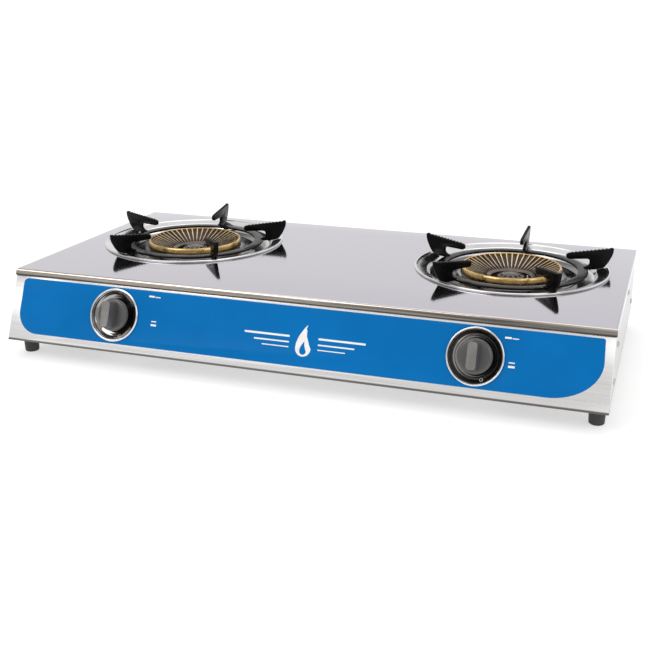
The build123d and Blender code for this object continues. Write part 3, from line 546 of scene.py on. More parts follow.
def cap_brass(side):
    """Turned brass, with painted shade darkening it towards the middle and on the skirt below the rim."""
    bright = bpy.context.scene.stove_colours.brass
    finish = Finish(f"cap_brass_{side}", bright, 1.0, 0.28)
    distance = finish.span(finish.radius_from(BURNERS[side]), 0, 1, 0, 0.064)
    # Painted shade: the brass darkens and browns inward from the rim, darkest in the recess under the centre cap.
    painted_shade_inward = finish.ramp(distance, (0.30, (0.13, 0.115, 0.105)), (0.47, (0.17, 0.14, 0.12)), (0.56, (0.50, 0.43, 0.34)),
                       (0.80, (0.62, 0.50, 0.33)), (0.925, (0.66, 0.47, 0.20)), (0.955, bright))
    # Painted shade: the lower part of the upright skirt below the rim is coloured dark brown.
    upper_skirt = finish.band("Z", TOP_Z - 3.5 * MM, TOP_Z + 1.5 * MM)
    skirt_painted_shade = finish.mix(upper_skirt, (0.22, 0.145, 0.055), bright)
    on_skirt = finish.span(finish.radius_from(BURNERS[side]), 0, 1, 0.0604, 0.061)
    patches = finish.ramp(finish.noise(55, 5), (0.35, (0.62, 0.55, 0.48)), (0.65, (1, 1, 1)))
    finish.drive("Base Color", finish.mix(0.8, finish.mix(on_skirt, painted_shade_inward, skirt_painted_shade), patches, "MULTIPLY"))
    finish.roughen(finish.noise(180, 4), 0.18, 0.4)
    finish.bump(finish.noise(420, 3), 0.12, 0.0002)
    return finish


def groove_soot():
    """Painted shade at the bottom of the cap's grooves and flame ports."""
    finish = Finish("groove_soot", (0.035, 0.022, 0.018), 0.6, 0.5)
    finish.tint(finish.noise(160), (0.02, 0.013, 0.011), (0.075, 0.045, 0.032))
    return finish


def machined_brass():
    finish = Finish("machined_brass", (0.72, 0.53, 0.25), 1.0, 0.25)
    finish.roughen(finish.noise(300, 2, 0.5, (1, 0.1, 1)), 0.18, 0.36)
    return finish


def cast_iron():
    finish = Finish("cast_iron", (0.045, 0.043, 0.042), 0.5, 0.62)
    sand = finish.noise(700, 5, 0.7)
    finish.tint(finish.noise(45, 5), (0.03, 0.028, 0.027), (0.075, 0.07, 0.066))
    finish.roughen(sand, 0.5, 0.8)
    finish.bump(sand, 0.5, 0.0004)
    return finish


def zinc_steel():
    finish = Finish("zinc_steel", (0.5, 0.51, 0.52), 1.0, 0.38)
    spangle = finish.noise(90, 2)
    finish.tint(spangle, (0.44, 0.45, 0.46), (0.6, 0.61, 0.62))
    finish.roughen(spangle, 0.3, 0.5)
    return finish


def die_cast():
    finish = Finish("valve_metal", (0.42, 0.42, 0.43), 1.0, 0.45)
    finish.bump(finish.noise(500, 3), 0.2, 0.0002)
    finish.roughen(finish.noise(120), 0.36, 0.56)
    return finish


def glazed_ceramic():
    finish = Finish("electrode_ceramic", (0.8, 0.77, 0.7), 0.0, 0.2)
    finish.tint(finish.noise(300), (0.7, 0.66, 0.58), (0.84, 0.81, 0.75))
    return finish


def foot_rubber():
    finish = Finish("foot_rubber", (0.032, 0.032, 0.033), 0.0, 0.62)
    dust = finish.noise(350, 4)
    finish.drive("Base Color", finish.ramp(dust, (0.3, 0.022), (0.75, 0.05)))
    finish.roughen(dust, 0.52, 0.75)
    finish.bump(dust, 0.25, 0.0002)
    return finish


# Even finishes: colour, metal or not, roughness, the noise in it, and the roughness that it wanders over.
PLAIN_FINISHES = {
    # The dish: chrome coloured dark as a painted reflection of the dark surroundings it mirrors.
    "bezel_chrome": ((0.36, 0.345, 0.335), 1.0, 0.07, (40,), (0.04, 0.11)),
    "bright_chrome": ((0.86, 0.86, 0.87), 1.0, 0.08, (60,), (0.05, 0.12)),
    "gas_pipe": ((0.62, 0.62, 0.63), 1.0, 0.3, (200, 2, 0.5, (0.1, 1, 1)), (0.22, 0.4)),
    "igniter_plastic": ((0.012, 0.012, 0.013), 0.0, 0.3, (400,), (0.22, 0.38)),
    "lead_rubber": ((0.12, 0.008, 0.006), 0.0, 0.45, (500,), (0.38, 0.55)),
    "spring_steel": ((0.4, 0.4, 0.42), 1.0, 0.3, (700,), (0.22, 0.4)),
}


def plain_finish(name):
    """An even finish whose gloss wanders a little."""
    colour, metallic, roughness, pattern, wander = PLAIN_FINISHES[name]
    finish = Finish(name, colour, metallic, roughness)
    finish.roughen(finish.noise(*pattern), *wander)
    return finish


FINISH_MAKERS = {
    "polished_steel": polished_steel, "case_steel": satin_steel,
    # The side and back panels: the same satin steel as the front, darkened to 0.66 as painted shade.
    "shell_steel": lambda: satin_steel("shell_steel", 0.66),
    "front_steel": lambda: satin_steel("front_steel", 1.0, PANEL_LOW.z - bpy.context.scene.stove_sizes.front_drop),
    "blue_print": blue_print, "white_print": white_print, "grip_plastic": grip_plastic,
    "knob_plastic": knob_plastic, "black_enamel": black_enamel, "groove_soot": groove_soot,
    "fitting_brass": machined_brass, "cast_iron": cast_iron, "zinc_steel": zinc_steel, "valve_metal": die_cast,
    "electrode_ceramic": glazed_ceramic, "foot_rubber": foot_rubber,
    "cap_brass_left": lambda: cap_brass("left"), "cap_brass_right": lambda: cap_brass("right"),
    "pan_steel_left": lambda: pressed_steel("left"), "pan_steel_right": lambda: pressed_steel("right"),
}
FINISHES = {}


def finish_named(name):
    """The material of that name, made at its first use."""
    if name not in FINISHES:
        finish = FINISH_MAKERS[name]() if name in FINISH_MAKERS else plain_finish(name)
        FINISHES[name] = finish.material
    return FINISHES[name]


# -------------------- case
class STOVE_OT_top_cover(bpy.types.Operator):
    """Model the polished top cover with its folded lips and two round openings"""

    bl_idname = "stove.top_cover"
    bl_label = "Top Cover"

    def execute(self, context):
        sizes = context.scene.stove_sizes
        size = COVER_HIGH - COVER_LOW
        middle = (COVER_HIGH + COVER_LOW) / 2
        cover = add_box("polished_cover", middle, size)
        edit(cover)
        pick(cover, "edges", lambda e: all(v.co.z > middle.z and v.co.y < middle.y for v in e.verts))
        slope = size.z * math.tan(math.pi / 2 - FACE_TILT)
        bpy.ops.transform.translate(value=(0, slope, 0))
        pick(cover, "edges", lambda e: all(v.co.z > middle.z for v in e.verts))
        bpy.ops.mesh.bevel(offset=sizes.cover_bend, segments=6, affect="EDGES")
        pick(cover, "faces", lambda f: f.normal.z < -0.9)
        bpy.ops.mesh.delete(type="FACE")
        pick(cover, "edges", lambda e: e.is_boundary)
        bpy.ops.mesh.extrude_edges_move(TRANSFORM_OT_translate={"value": (0, 0, 0)})
        lip_return = 1.6 * MM
        scale = (1 - 2 * lip_return / size.x, 1 - 2 * lip_return / size.y, 1)
        bpy.ops.transform.resize(value=scale, center_override=middle)
        add_modifier(cover, "SOLIDIFY", thickness=sizes.cover_sheet * 0.8, offset=-1)
        rim_overlap = 6 * MM
        for side in SIDES:
            deselect_everything()
            bpy.ops.mesh.primitive_cylinder_add(vertices=sizes.lathe_steps, radius=PAN_RADIUS - rim_overlap,
                                                depth=20 * MM, location=BURNERS[side])
            cutter = context.object
            add_modifier(cover, "BOOLEAN", object=cutter, operation="DIFFERENCE", solver="EXACT")
            bpy.data.objects.remove(cutter)
        finish_piece(cover, "polished_steel", "base", ["top_cover"], 40)
        return {"FINISHED"}


class STOVE_OT_front_skin(bpy.types.Operator):
    """Model the satin front panel with its lower edge rolled down past the side panels"""

    bl_idname = "stove.front_skin"
    bl_label = "Front Panel"

    def execute(self, context):
        drop = context.scene.stove_sizes.front_drop
        skin = copy_of_node("front_panel", "front_skin")
        edit(skin)
        pick(skin, "verts", lambda v: v.co.z < PANEL_LOW.z + 2 * MM)
        bpy.ops.transform.translate(value=(0, -drop / math.tan(FACE_TILT), -drop))
        leave_edit()
        bevel_edges(skin, 0.3 * MM, 2, 50)
        finish_piece(skin, "front_steel", "base", ["front_panel"], 35)
        return {"FINISHED"}


class STOVE_OT_fascia(bpy.types.Operator):
    """Model the blue printed fascia with softened edges"""

    bl_idname = "stove.fascia"
    bl_label = "Blue Fascia"

    def execute(self, context):
        left_end, moved_in, corner = -300 * MM, 2.3 * MM, 6 * MM
        fascia = copy_of_node("front_fascia", "blue_fascia")
        edit(fascia)
        pick(fascia, "verts", lambda v: v.co.x < left_end)
        bpy.ops.transform.translate(value=(moved_in, 0, 0))
        left = min(v.co.x for v in fascia.data.vertices)
        high = max(v.co.z for v in fascia.data.vertices)

        def upper_left(edge):
            first, second = (vertex.co for vertex in edge.verts)
            middle = (first + second) / 2
            through_sheet = abs((first - second).normalized().dot(FACE_NORMAL)) > 0.99
            return through_sheet and middle.x < left + corner and middle.z > high - 3 * MM

        pick(fascia, "edges", upper_left)
        bpy.ops.mesh.bevel(offset=corner, segments=6)
        leave_edit()
        bevel_edges(fascia, 0.22 * MM, 2, 60)
        finish_piece(fascia, "blue_print", "base", ["front_fascia"], 30)
        return {"FINISHED"}


def flat_mark(name, width, height, corner):
    """A thin rounded bar, made flat at the origin."""
    thickness = bpy.context.scene.stove_sizes.mark_height
    mark = add_box(name, (0, 0, thickness / 2), (width, height, thickness))
    edit(mark)
    pick(mark, "edges", lambda e: abs(e.verts[0].co.z - e.verts[1].co.z) > thickness / 2)
    bpy.ops.mesh.bevel(offset=corner, segments=4, affect="EDGES")
    leave_edit()
    return mark


def flat_flame(name, height):
    """A thin flame shape: a round base drawn up into a leaning point."""
    deselect_everything()
    thickness = bpy.context.scene.stove_sizes.mark_height
    radius = height * 0.3
    bpy.ops.mesh.primitive_cylinder_add(vertices=36, radius=radius, depth=thickness,
                                        location=(0, 0, thickness / 2))
    flame = bpy.context.object
    flame.name = name
    apply_transform()
    edit(flame)
    lifted = 0
    for above, sideways, rise, narrow in ((0.1, -0.12, 0.10, 0.86), (0.45, -0.05, 0.16, 0.74),
                                          (0.75, 0.16, 0.18, 0.62), (0.95, 0.30, 0.12, 0.45)):
        pick(flame, "verts", lambda v: v.co.y > radius * above + lifted)
        bpy.ops.transform.translate(value=(radius * sideways, height * rise, 0))
        bpy.ops.transform.resize(value=(narrow, 1, 1), center_override=(radius * sideways, 0, 0))
        lifted += height * rise
    leave_edit()
    return flame


def on_fascia(side, across, up):
    """A point on the printed face, measured from a knob's axis."""
    return KNOBS[side] + Vector((across, 0, 0)) + FACE_UP * up + FACE_NORMAL * (0.5 * MM)


class STOVE_OT_marks(bpy.types.Operator):
    """Print plain flame and level marks beside each knob, and a plain flame at the middle"""

    bl_idname = "stove.marks"
    bl_label = "Printed Marks"

    def execute(self, context):
        # across and up from a knob's axis, width and height of each bar, in millimetres
        pieces = []
        layout = ((32.5, 22.8, 7.0, 2.0), (40.2, 22.4, 7.0, 1.1), (38.6, -2.6, 6.5, 1.2), (38.6, -6.8, 7.0, 2.2))
        for side, shift, top_lift in (("left", 13.5, 3.2), ("right", 0.0, 0.0)):
            for across, up, width, height in layout:
                mark = flat_mark("mark", width * MM, height * MM, 0.45 * MM)
                lift = top_lift if up > 0 else 0.0
                place(mark, on_fascia(side, (across + shift) * MM, (up + lift) * MM), True)
                pieces.append(mark)
        middle = on_fascia("left", -KNOBS["left"].x + 23.5 * MM, -5 * MM)
        flame = flat_flame("flame", 30 * MM)
        place(flame, middle - FACE_UP * 8 * MM, True)
        pieces.append(flame)
        rays = ((44.0, 4.0, 54.0, 2.2), (38.0, -2.5, 42.0, 1.6), (33.0, -8.0, 32.0, 1.1))
        for sign in (-1, 1):
            for across, up, width, height in rays:
                line = flat_mark("line", width * MM, height * MM, 0.45 * MM)
                place(line, middle + Vector((sign * across * MM, 0, 0)) + FACE_UP * (up * MM), True)
                pieces.append(line)
        for piece in pieces:
            coat(piece, "white_print")
        heart = flat_flame("flame", 13 * MM)
        coat(heart, "blue_print")
        lift = FACE_NORMAL * context.scene.stove_sizes.mark_height / 2
        place(heart, middle - FACE_UP * (11 * MM) + lift, True)
        marks = join("level_marks", [*pieces, heart])
        finish_piece(marks, None, "base")
        return {"FINISHED"}


# -------------------- controls
class STOVE_OT_bezels(bpy.types.Operator):
    """Turn the dished bezels, with a bright rim and a small off mark"""

    bl_idname = "stove.bezels"
    bl_label = "Knob Bezels"

    def execute(self, context):
        rim = [(31.3, 0.55), (31.3, 1.9), (30.5, 2.9), (29.3, 2.9), (28.3, 1.7), (28.3, 0.9)]
        dish = [(28.4, 1.6), (26.6, -0.3), (24.4, -1.9), (21.5, -2.9), (17.0, -3.5), (9.0, -3.9),
                (9.0, -4.8), (17.3, -4.5), (23.0, -3.4), (28.5, 0.5)]
        for side in SIDES:
            ring = turn_on_lathe("rim", rim, 0.35)
            coat(ring, "bright_chrome")
            bowl = turn_on_lathe("dish", dish, 0.4)
            # The dish takes the darkened chrome, a painted dark reflection.
            coat(bowl, "bezel_chrome")
            deselect_everything()
            bpy.ops.mesh.primitive_torus_add(major_radius=1.7 * MM, minor_radius=0.3 * MM, major_segments=28,
                                             minor_segments=8, location=(8.5 * MM, -23.6 * MM, -1.35 * MM),
                                             rotation=(-0.62, -0.2, 0))
            off_mark = context.object
            coat(off_mark, "white_print")
            bezel = join(f"bezel_{side}", [ring, bowl, off_mark])
            place(bezel, KNOBS[side], True)
            finish_piece(bezel, None, "base", [f"knob_bezel_{side}"])
        return {"FINISHED"}


class STOVE_OT_knobs(bpy.types.Operator):
    """Mould the knobs: a domed disc with a notched edge and a raised grip bar"""

    bl_idname = "stove.knobs"
    bl_label = "Knobs"

    def execute(self, context):
        disc_outline = [(0.0, 7.0), (9.0, 7.0), (16.5, 6.7), (18.6, 5.6), (19.0, 3.6), (19.0, 1.7), (17.8, 1.5),
                        (17.8, 3.6), (7.0, 4.4), (6.5, 1.0), (6.5, -7.9), (4.2, -7.9), (4.2, 2.9), (0.0, 2.9)]
        for side in SIDES:
            disc = turn_on_lathe("disc", disc_outline, 0.5, closed=False)
            grip = add_box("grip", (0, 0, 14 * MM), (11.6 * MM, 31 * MM, 16.4 * MM))
            edit(grip)
            pick(grip, "faces", lambda f: f.normal.z > 0.9)
            bpy.ops.transform.resize(value=(0.88, 0.93, 1), center_override=(0, 0, 22 * MM))
            bpy.ops.mesh.inset(thickness=0.9 * MM)
            bpy.ops.transform.translate(value=(0, 0, -0.4 * MM))
            pick(grip, "edges", lambda e: abs(e.verts[0].co.z - e.verts[1].co.z) > 10 * MM)
            bpy.ops.mesh.bevel(offset=3.4 * MM, segments=6, affect="EDGES")
            leave_edit()
            bevel_edges(grip, 0.9 * MM, 4, 25)
            coat(disc, "knob_plastic")
            coat(grip, "knob_plastic", "grip_plastic")
            edit(grip)
            # The grip's top faces take the lighter copy: painted light where the front catches the lamps.
            pick(grip, "faces", lambda f: f.normal.z > 0.8 and f.calc_center_median().z > 19 * MM)
            assign_selected(1)
            knob = join(f"control_knob_{side}", [disc, grip])
            place(knob, KNOBS[side], True)
            finish_piece(knob, None, f"knob_turn_{side}", [f"knob_{side}"], 35)
        return {"FINISHED"}


class STOVE_OT_springs(bpy.types.Operator):
    """Return springs, copied from the frame with a finish of their own"""

    bl_idname = "stove.springs"
    bl_label = "Return Springs"

    def execute(self, context):
        for side in SIDES:
            node = f"return_spring_{side}"
            spring = copy_of_node(node, f"valve_spring_{side}")
            finish_piece(spring, "spring_steel", "base", [node], 60)
            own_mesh(spring)
        return {"FINISHED"}


# -------------------- burners
class STOVE_OT_burner_caps(bpy.types.Operator):
    """Turn the brass burner caps and cut the grooves between their ribs"""

    bl_idname = "stove.burner_caps"
    bl_label = "Burner Caps"

    def execute(self, context):
        sizes = context.scene.stove_sizes
        cap_outline = [(61.5, -7.0), (61.5, -2.0), (61.3, 1.2), (60.6, 2.9), (59.7, 3.5), (58.6, 3.0), (52.0, 0.4),
                       (28.5, -8.8), (25.6, -9.8), (24.0, -10.6), (24.0, -13.9), (27.0, -13.9), (27.0, -12.6),
                       (50.5, -3.4), (50.5, -10.9), (53.6, -10.9), (53.6, -7.0)]
        steps_a_rib = 5
        steps = sizes.cap_ribs * steps_a_rib
        groove_start, groove_end = 28.6 * MM, 58.4 * MM
        for side in SIDES:
            cap = turn_on_lathe(f"brass_cap_{side}", cap_outline, 0.45, steps=steps)
            coat(cap, f"cap_brass_{side}", "groove_soot")
            edit(cap)

            def in_groove(face):
                middle = face.calc_center_median()
                radius = middle.xy.length
                sector = math.atan2(middle.y, middle.x) / (2 * math.pi) * steps
                on_cone = face.normal.z > 0.5 and groove_start < radius < groove_end
                return on_cone and math.floor(sector) % steps_a_rib != 0

            pick(cap, "faces", in_groove)
            bpy.ops.mesh.inset(thickness=0.1 * MM, use_boundary=True)
            bpy.ops.mesh.extrude_region_move(TRANSFORM_OT_translate={"value": (0, 0, -sizes.rib_height)})
            # The groove bottoms take the painted shade.
            assign_selected(1)
            leave_edit()
            place(cap, BURNERS[side])
            finish_piece(cap, None, f"burner_cap_{side}", [f"burner_cap_{side}"], 30)
        return {"FINISHED"}


class STOVE_OT_center_caps(bpy.types.Operator):
    """Turn the small centre caps with their ring of flame ports"""

    bl_idname = "stove.center_caps"
    bl_label = "Centre Caps"

    def execute(self, context):
        outline = [(0.0, -6.6), (6.0, -6.6), (8.5, -7.4), (10.5, -7.4), (14.5, -8.6), (16.6, -10.2), (17.0, -11.5),
                   (17.0, -13.9), (12.6, -13.9), (12.6, -17.9), (10.0, -17.9), (10.0, -11.4), (0.0, -11.4)]
        port_count, port_steps, port_depth = 12, 6, 1.2 * MM
        port_start, port_end = 11.2 * MM, 14.2 * MM
        for side in SIDES:
            cap = turn_on_lathe("center", outline, 0.3, closed=False, steps=port_count * port_steps)
            coat(cap, f"cap_brass_{side}", "groove_soot")
            edit(cap)

            def port(face):
                middle = face.calc_center_median()
                sector = math.floor(math.atan2(middle.y, middle.x) / (2 * math.pi) * port_count * port_steps)
                on_slope = face.normal.z > 0.4 and port_start < middle.xy.length < port_end
                return on_slope and sector % port_steps < port_steps / 2

            pick(cap, "faces", port)
            bpy.ops.mesh.extrude_region_move(TRANSFORM_OT_translate={"value": (0, 0, -port_depth)})
            # The port bottoms take the painted shade.
            assign_selected(1)
            leave_edit()
            cap.name = f"middle_cap_{side}"
            place(cap, BURNERS[side])
            finish_piece(cap, None, f"center_cap_{side}", [f"center_cap_{side}"], 30)
        return {"FINISHED"}


class STOVE_OT_drip_pans(bpy.types.Operator):
    """Turn the pressed drip pans with a rolled rim"""

    bl_idname = "stove.drip_pans"
    bl_label = "Drip Pans"

    def execute(self, context):
        outline = [(117.6, 0.05), (118.0, 1.0), (117.7, 2.1), (116.7, 2.75), (115.6, 2.6), (114.5, 1.7), (112.6, 1.0),
                   (104.4, -1.3), (102.6, -2.6), (100.2, -7.4), (98.6, -8.7), (82.0, -9.0), (80.5, -8.5),
                   (78.5, -8.5), (77.0, -9.1), (67.4, -9.4), (66.2, -8.8), (65.5, -6.6), (64.6, -6.6),
                   (65.2, -9.2), (66.4, -10.2),
                   (98.6, -9.6), (100.9, -8.2), (103.4, -3.2), (104.6, -2.1), (111.3, 0.05)]
        for side in SIDES:
            pan = turn_on_lathe(f"spill_pan_{side}", outline, 0.3)
            place(pan, BURNERS[side])
            finish_piece(pan, f"pan_steel_{side}", f"drip_pan_{side}",
                         [f"drip_pan_{side}"], 40)
        return {"FINISHED"}


# -------------------- pot supports
ARM_COUNT = 5


def arm_outline():
    """One arm in its own plane, as (radius, height) above the cover: leg, tip, teeth and rounded end."""
    pitch = bpy.context.scene.stove_sizes.tooth_pitch / MM
    points = [(88.2, -1.4), (103.6, -1.0), (112.0, 1.3), (113.6, 2.8), (117.5, 8.2), (121.3, 15.8), (122.6, 20.0),
              (123.0, 24.4), (122.4, 25.8), (121.0, 26.0)]
    radius, height = 119.0, 25.7
    drop = 6.0 / 57.0 * pitch
    while radius > 72:
        points += [(radius, height), (radius - 0.30 * pitch, height - 1.15), (radius - 0.62 * pitch, height - 1.15)]
        radius -= pitch
        height -= drop
    points += [(69.5, 19.6), (67.0, 18.6), (66.0, 16.6), (66.2, 14.4), (67.6, 12.6), (70.0, 12.0), (91.0, 12.4),
               (93.9, 11.6), (94.9, 9.6), (94.9, 6.4), (93.6, 4.4), (90.2, 2.5), (88.2, 2.4)]
    return points


class STOVE_OT_pot_supports(bpy.types.Operator):
    """Cut the ring and the five toothed arms of each pot support"""

    bl_idname = "stove.pot_supports"
    bl_label = "Pot Supports"

    def execute(self, context):
        thickness = context.scene.stove_sizes.arm_thickness
        ring_outline = [(80.0, -1.5), (80.0, 1.0), (92.0, 1.0), (92.0, -1.5)]
        for side in SIDES:
            ring = turn_on_lathe(f"enamel_ring_{side}", ring_outline, 0.7)
            place(ring, BURNERS[side])
            finish_piece(ring, "black_enamel", f"pot_support_{side}",
                         [f"support_ring_{side}"], 45)
            arms = []
            first = support_turn(side)
            for index in range(ARM_COUNT):
                arm = draw_outline("arm", arm_outline(), True)
                edit(arm)
                select_all()
                bpy.ops.mesh.edge_face_add()
                bpy.ops.transform.translate(value=(0, -thickness / 2, 0))
                bpy.ops.mesh.extrude_region_move(TRANSFORM_OT_translate={"value": (0, thickness, 0)})
                select_all()
                bpy.ops.mesh.normals_make_consistent(inside=False)
                leave_edit()
                bevel_edges(arm, 0.55 * MM, 2, 50)
                arm.rotation_euler = (0, 0, first + index * 2 * math.pi / ARM_COUNT)
                place(arm, BURNERS[side])
                arms.append(arm)
            piece = join(f"enamel_arms_{side}", arms)
            finish_piece(piece, "black_enamel", f"pot_support_{side}",
                         [f"support_arms_{side}"], 40)
        return {"FINISHED"}


def support_turn(side):
    """Direction of a pot support's first arm, read from the frame."""
    center = BURNERS[side]
    tips = [v.co - center for v in NODES[f"support_arms_{side}"].data.vertices if v.co.z > TOP_Z + 25.5 * MM]
    angles = [math.atan2(tip.y, tip.x) for tip in tips if 0 < math.atan2(tip.y, tip.x) < math.radians(60)]
    return sum(angles) / len(angles)


# -------------------- feet, screws and inlet
class STOVE_OT_feet(bpy.types.Operator):
    """Turn the rubber feet with a soft edge and a recessed screw hole"""

    bl_idname = "stove.feet"
    bl_label = "Rubber Feet"

    def execute(self, context):
        for place_name in ("front_left", "front_right", "rear_left", "rear_right"):
            low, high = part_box(f"foot_{place_name}")
            top = (high.x - low.x) / 2 / MM
            height = high.z / MM
            outline = [(4.3, 0.0), (top - 2.4, 0.0), (top - 1.2, 1.0), (top - 0.4, height - 4.0), (top, height - 2.6),
                       (top, height), (2.1, height), (2.1, 7.0), (4.3, 7.0)]
            foot = turn_on_lathe(f"rubber_foot_{place_name}", outline, 0.5,
                                 steps=64)
            place(foot, ((low.x + high.x) / 2, (low.y + high.y) / 2, 0))
            finish_piece(foot, "foot_rubber", "base", [f"foot_{place_name}"], 40)
        return {"FINISHED"}


class STOVE_OT_case_screws(bpy.types.Operator):
    """Turn the pan-head screws of the case and press a cross recess into each"""

    bl_idname = "stove.case_screws"
    bl_label = "Case Screws"

    def execute(self, context):
        heads = []
        outline = [(0.0, 1.95), (1.8, 1.85), (3.0, 1.3), (3.6, 0.2), (3.6, 0.0), (2.0, 0.0), (2.0, -5.0), (0.0, -5.0)]
        master = turn_on_lathe("screw", outline, 0.15, closed=False, steps=32)
        for turn in (0, math.pi / 2):
            blade = add_box("blade", (0, 0, 1.9 * MM), (3.6 * MM, 0.75 * MM, 2.0 * MM), turn)
            add_modifier(master, "BOOLEAN", object=blade, operation="DIFFERENCE", solver="EXACT")
            bpy.data.objects.remove(blade)
        for center, outward in screw_places():
            screw = copy_of(master, "screw_copy")
            screw.rotation_euler = outward.to_track_quat("Z", "Y").to_euler()
            place(screw, center)
            heads.append(screw)
        bpy.data.objects.remove(master)
        screws = join("pan_head_screws", heads)
        finish_piece(screws, "zinc_steel", "base", ["case_screws"], 35)
        return {"FINISHED"}


def screw_places():
    """Where each case screw's head sits and which way it faces, read from the frame's screws."""
    mesh = bmesh.new()
    mesh.from_mesh(NODES["case_screws"].data)
    bmesh.ops.remove_doubles(mesh, verts=mesh.verts, dist=1e-6)
    unseen = set(mesh.verts)
    places = []
    while unseen:
        cluster = [unseen.pop()]
        stack = list(cluster)
        while stack:
            for edge in stack.pop().link_edges:
                for vertex in edge.verts:
                    if vertex in unseen:
                        unseen.remove(vertex)
                        cluster.append(vertex)
                        stack.append(vertex)
        low = Vector([min(v.co[axis] for v in cluster) for axis in range(3)])
        high = Vector([max(v.co[axis] for v in cluster) for axis in range(3)])
        middle = (low + high) / 2
        head = 2.0 * MM
        if abs(middle.x) < PANEL_HIGH.x - 10 * MM:
            places.append((Vector((middle.x, high.y - head, middle.z)), Vector((0, 1, 0))))
        elif middle.x > 0:
            places.append((Vector((high.x - head, middle.y, middle.z)), Vector((1, 0, 0))))
        else:
            places.append((Vector((low.x + head, middle.y, middle.z)), Vector((-1, 0, 0))))
    mesh.free()
    return sorted(places, key=lambda item: tuple(round(value, 5) for value in item[0]))


class STOVE_OT_inlet(bpy.types.Operator):
    """Cut the gas inlet: a hexagon with a threaded end"""

    bl_idname = "stove.inlet"
    bl_label = "Gas Inlet"

    def execute(self, context):
        low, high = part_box("inlet_fitting")
        center = Vector(((low.x + high.x) / 2, 0, (low.z + high.z) / 2))
        crest, root, bore, pitch = 8.33, 7.35, 4.6, 1.34
        length = (high.y - low.y) / MM
        thread_start = length - 14.0
        outline = [(bore, 0.0), (crest, 0.0), (crest, thread_start + 0.6)]
        along = thread_start + 0.6
        while along + pitch < length - 1.2:
            outline += [(root, along + pitch * 0.35), (root, along + pitch * 0.5), (crest, along + pitch * 0.85),
                        (crest, along + pitch)]
            along += pitch
        outline += [(root + 0.2, length - 0.2), (root, length), (bore, length)]
        body = turn_on_lathe("thread", outline, steps=64)
        deselect_everything()
        bpy.ops.mesh.primitive_cylinder_add(vertices=6, radius=11 * MM, depth=6 * MM,
                                            location=(0, 0, (thread_start - 3.0) * MM))
        hexagon = context.object
        apply_transform()
        bevel_edges(hexagon, 0.6 * MM, 2, 40)
        fitting = join("threaded_inlet", [body, hexagon])
        fitting.rotation_euler = (-math.pi / 2, 0, 0)
        place(fitting, (center.x, low.y, center.z))
        finish_piece(fitting, "fitting_brass", "base", ["inlet_fitting"], 30)
        return {"FINISHED"}


# -------------------- nodes that keep their CAD shape
class STOVE_OT_frame_finishes(bpy.types.Operator):
    """Give every CAD node that stays in sight its procedural finish"""

    bl_idname = "stove.frame_finishes"
    bl_label = "Frame Finishes"

    def execute(self, context):
        slots = {entry["node"]: entry["material_slot"] for entry in frame["record"]["subparts"]}
        for name, node in NODES.items():
            if node.hide_render:
                continue
            slot = slots[name]
            # Side and back panels take the darker copy of the case steel, a painted shade.
            if name in ("side_panel_left", "side_panel_right", "back_panel"):
                finish = finish_named("shell_steel")
            else:
                finish = finish_named(slot)
            for index in range(len(node.material_slots)):
                node.material_slots[index].material = finish
        return {"FINISHED"}


# -------------------- stage
FLOOR_WIDTH = 14
CAMERA_PLACE = (0.3985, -1.1401, 0.4299)
CAMERA_YAW = 18.164
CAMERA_PITCH = 16.63
CAMERA_ROLL = 0.18
CAMERA_LENS = 55.76
CAMERA_SHIFT = (-0.0491, -0.0561)


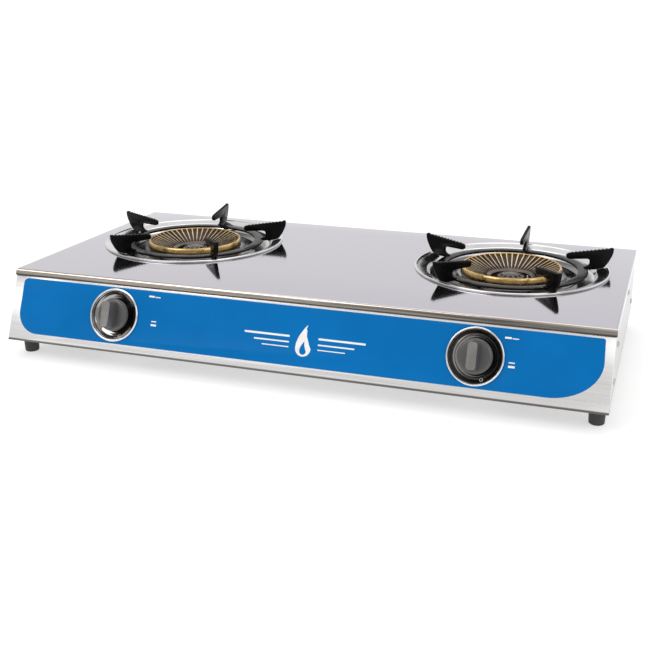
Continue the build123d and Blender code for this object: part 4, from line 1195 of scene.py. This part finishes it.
class STOVE_OT_stage(bpy.types.Operator):
    """Set the pale floor, the soft studio light and the camera"""

    bl_idname = "stove.stage"
    bl_label = "Stage"

    def execute(self, context):
        scene = context.scene
        deselect_everything()
        bpy.ops.mesh.primitive_plane_add(size=FLOOR_WIDTH, location=(0, 0, 0))
        floor = context.object
        floor.name = "studio_floor"
        finish = Finish("studio_floor", (0.55, 0.55, 0.55), 0.0, 0.9)
        finish.set(Emission_Color=(1, 1, 1, 1), Emission_Strength=0.55)
        floor.data.materials.append(finish.material)

        world = bpy.data.worlds.new("soft_studio")
        scene.world = world
        world.use_nodes = True
        nodes, links = world.node_tree.nodes, world.node_tree.links
        background = nodes["Background"]
        coordinates = nodes.new("ShaderNodeTexCoord")
        split = nodes.new("ShaderNodeSeparateXYZ")
        ramp = nodes.new("ShaderNodeValToRGB")
        links.new(coordinates.outputs["Generated"], split.inputs["Vector"])
        links.new(split.outputs["Y"], ramp.inputs["Fac"])
        ramp.color_ramp.elements[0].position = 0.0
        ramp.color_ramp.elements[0].color = (0.62, 0.61, 0.6, 1)
        ramp.color_ramp.elements[1].position = 0.5
        ramp.color_ramp.elements[1].color = (1, 1, 1, 1)
        links.new(ramp.outputs["Color"], background.inputs["Color"])
        background.inputs["Strength"].default_value = 1.0

        for name, location, size, energy in (("key_softbox", (-1.2, -1.6, 2.0), 1.6, 22),
                                             ("fill_softbox", (1.8, -1.2, 1.4), 1.4, 8),
                                             ("top_softbox", (0.0, 0.4, 2.4), 2.0, 14)):
            light = bpy.data.lights.new(name, "AREA")
            light.size = size
            light.energy = energy
            lamp = bpy.data.objects.new(name, light)
            scene.collection.objects.link(lamp)
            lamp.location = location
            lamp.rotation_euler = (Vector((0, 0, 0.06)) - Vector(location)).to_track_quat("-Z", "Y").to_euler()

        camera = bpy.data.cameras.new("front_camera")
        camera.lens = CAMERA_LENS
        camera.sensor_width = 36
        camera.shift_x, camera.shift_y = CAMERA_SHIFT
        camera.clip_end = 50
        viewer = bpy.data.objects.new("front_camera", camera)
        scene.collection.objects.link(viewer)
        viewer.location = CAMERA_PLACE
        turn = Matrix.Rotation(math.radians(CAMERA_YAW), 4, "Z")
        tip = Matrix.Rotation(math.radians(90 - CAMERA_PITCH), 4, "X")
        roll = Matrix.Rotation(math.radians(CAMERA_ROLL), 4, "Z")
        viewer.rotation_euler = (turn @ tip @ roll).to_euler()
        scene.camera = viewer
        scene.view_settings.view_transform = "Standard"
        return {"FINISHED"}


# -------------------- panel and registration
OPERATORS = (STOVE_OT_top_cover, STOVE_OT_front_skin, STOVE_OT_fascia, STOVE_OT_marks, STOVE_OT_bezels,
             STOVE_OT_knobs, STOVE_OT_springs, STOVE_OT_burner_caps, STOVE_OT_center_caps, STOVE_OT_drip_pans,
             STOVE_OT_pot_supports, STOVE_OT_feet, STOVE_OT_case_screws, STOVE_OT_inlet,
             STOVE_OT_frame_finishes, STOVE_OT_stage)


class STOVE_PT_panel(bpy.types.Panel):
    """Lists the stove's sizes, colours and pieces"""

    bl_idname = "STOVE_PT_panel"
    bl_label = "Camp Stove"
    bl_space_type = "VIEW_3D"
    bl_region_type = "UI"
    bl_category = "Stove"

    def draw(self, context):
        for group in (context.scene.stove_sizes, context.scene.stove_colours):
            for name in group.__class__.__annotations__:
                self.layout.prop(group, name)
        for operator in OPERATORS:
            self.layout.operator(operator.bl_idname)


CLASSES = (StoveSizes, StoveColours, *OPERATORS, STOVE_PT_panel)


def register():
    for cls in CLASSES:
        bpy.utils.register_class(cls)
    bpy.types.Scene.stove_sizes = bpy.props.PointerProperty(type=StoveSizes)
    bpy.types.Scene.stove_colours = bpy.props.PointerProperty(type=StoveColours)


def unregister():
    del bpy.types.Scene.stove_sizes
    del bpy.types.Scene.stove_colours
    for cls in reversed(CLASSES):
        bpy.utils.unregister_class(cls)


def main():
    register()
    for operator in OPERATORS:
        family, name = operator.bl_idname.split(".")
        getattr(getattr(bpy.ops, family), name)()


if __name__ == "__main__":
    main()
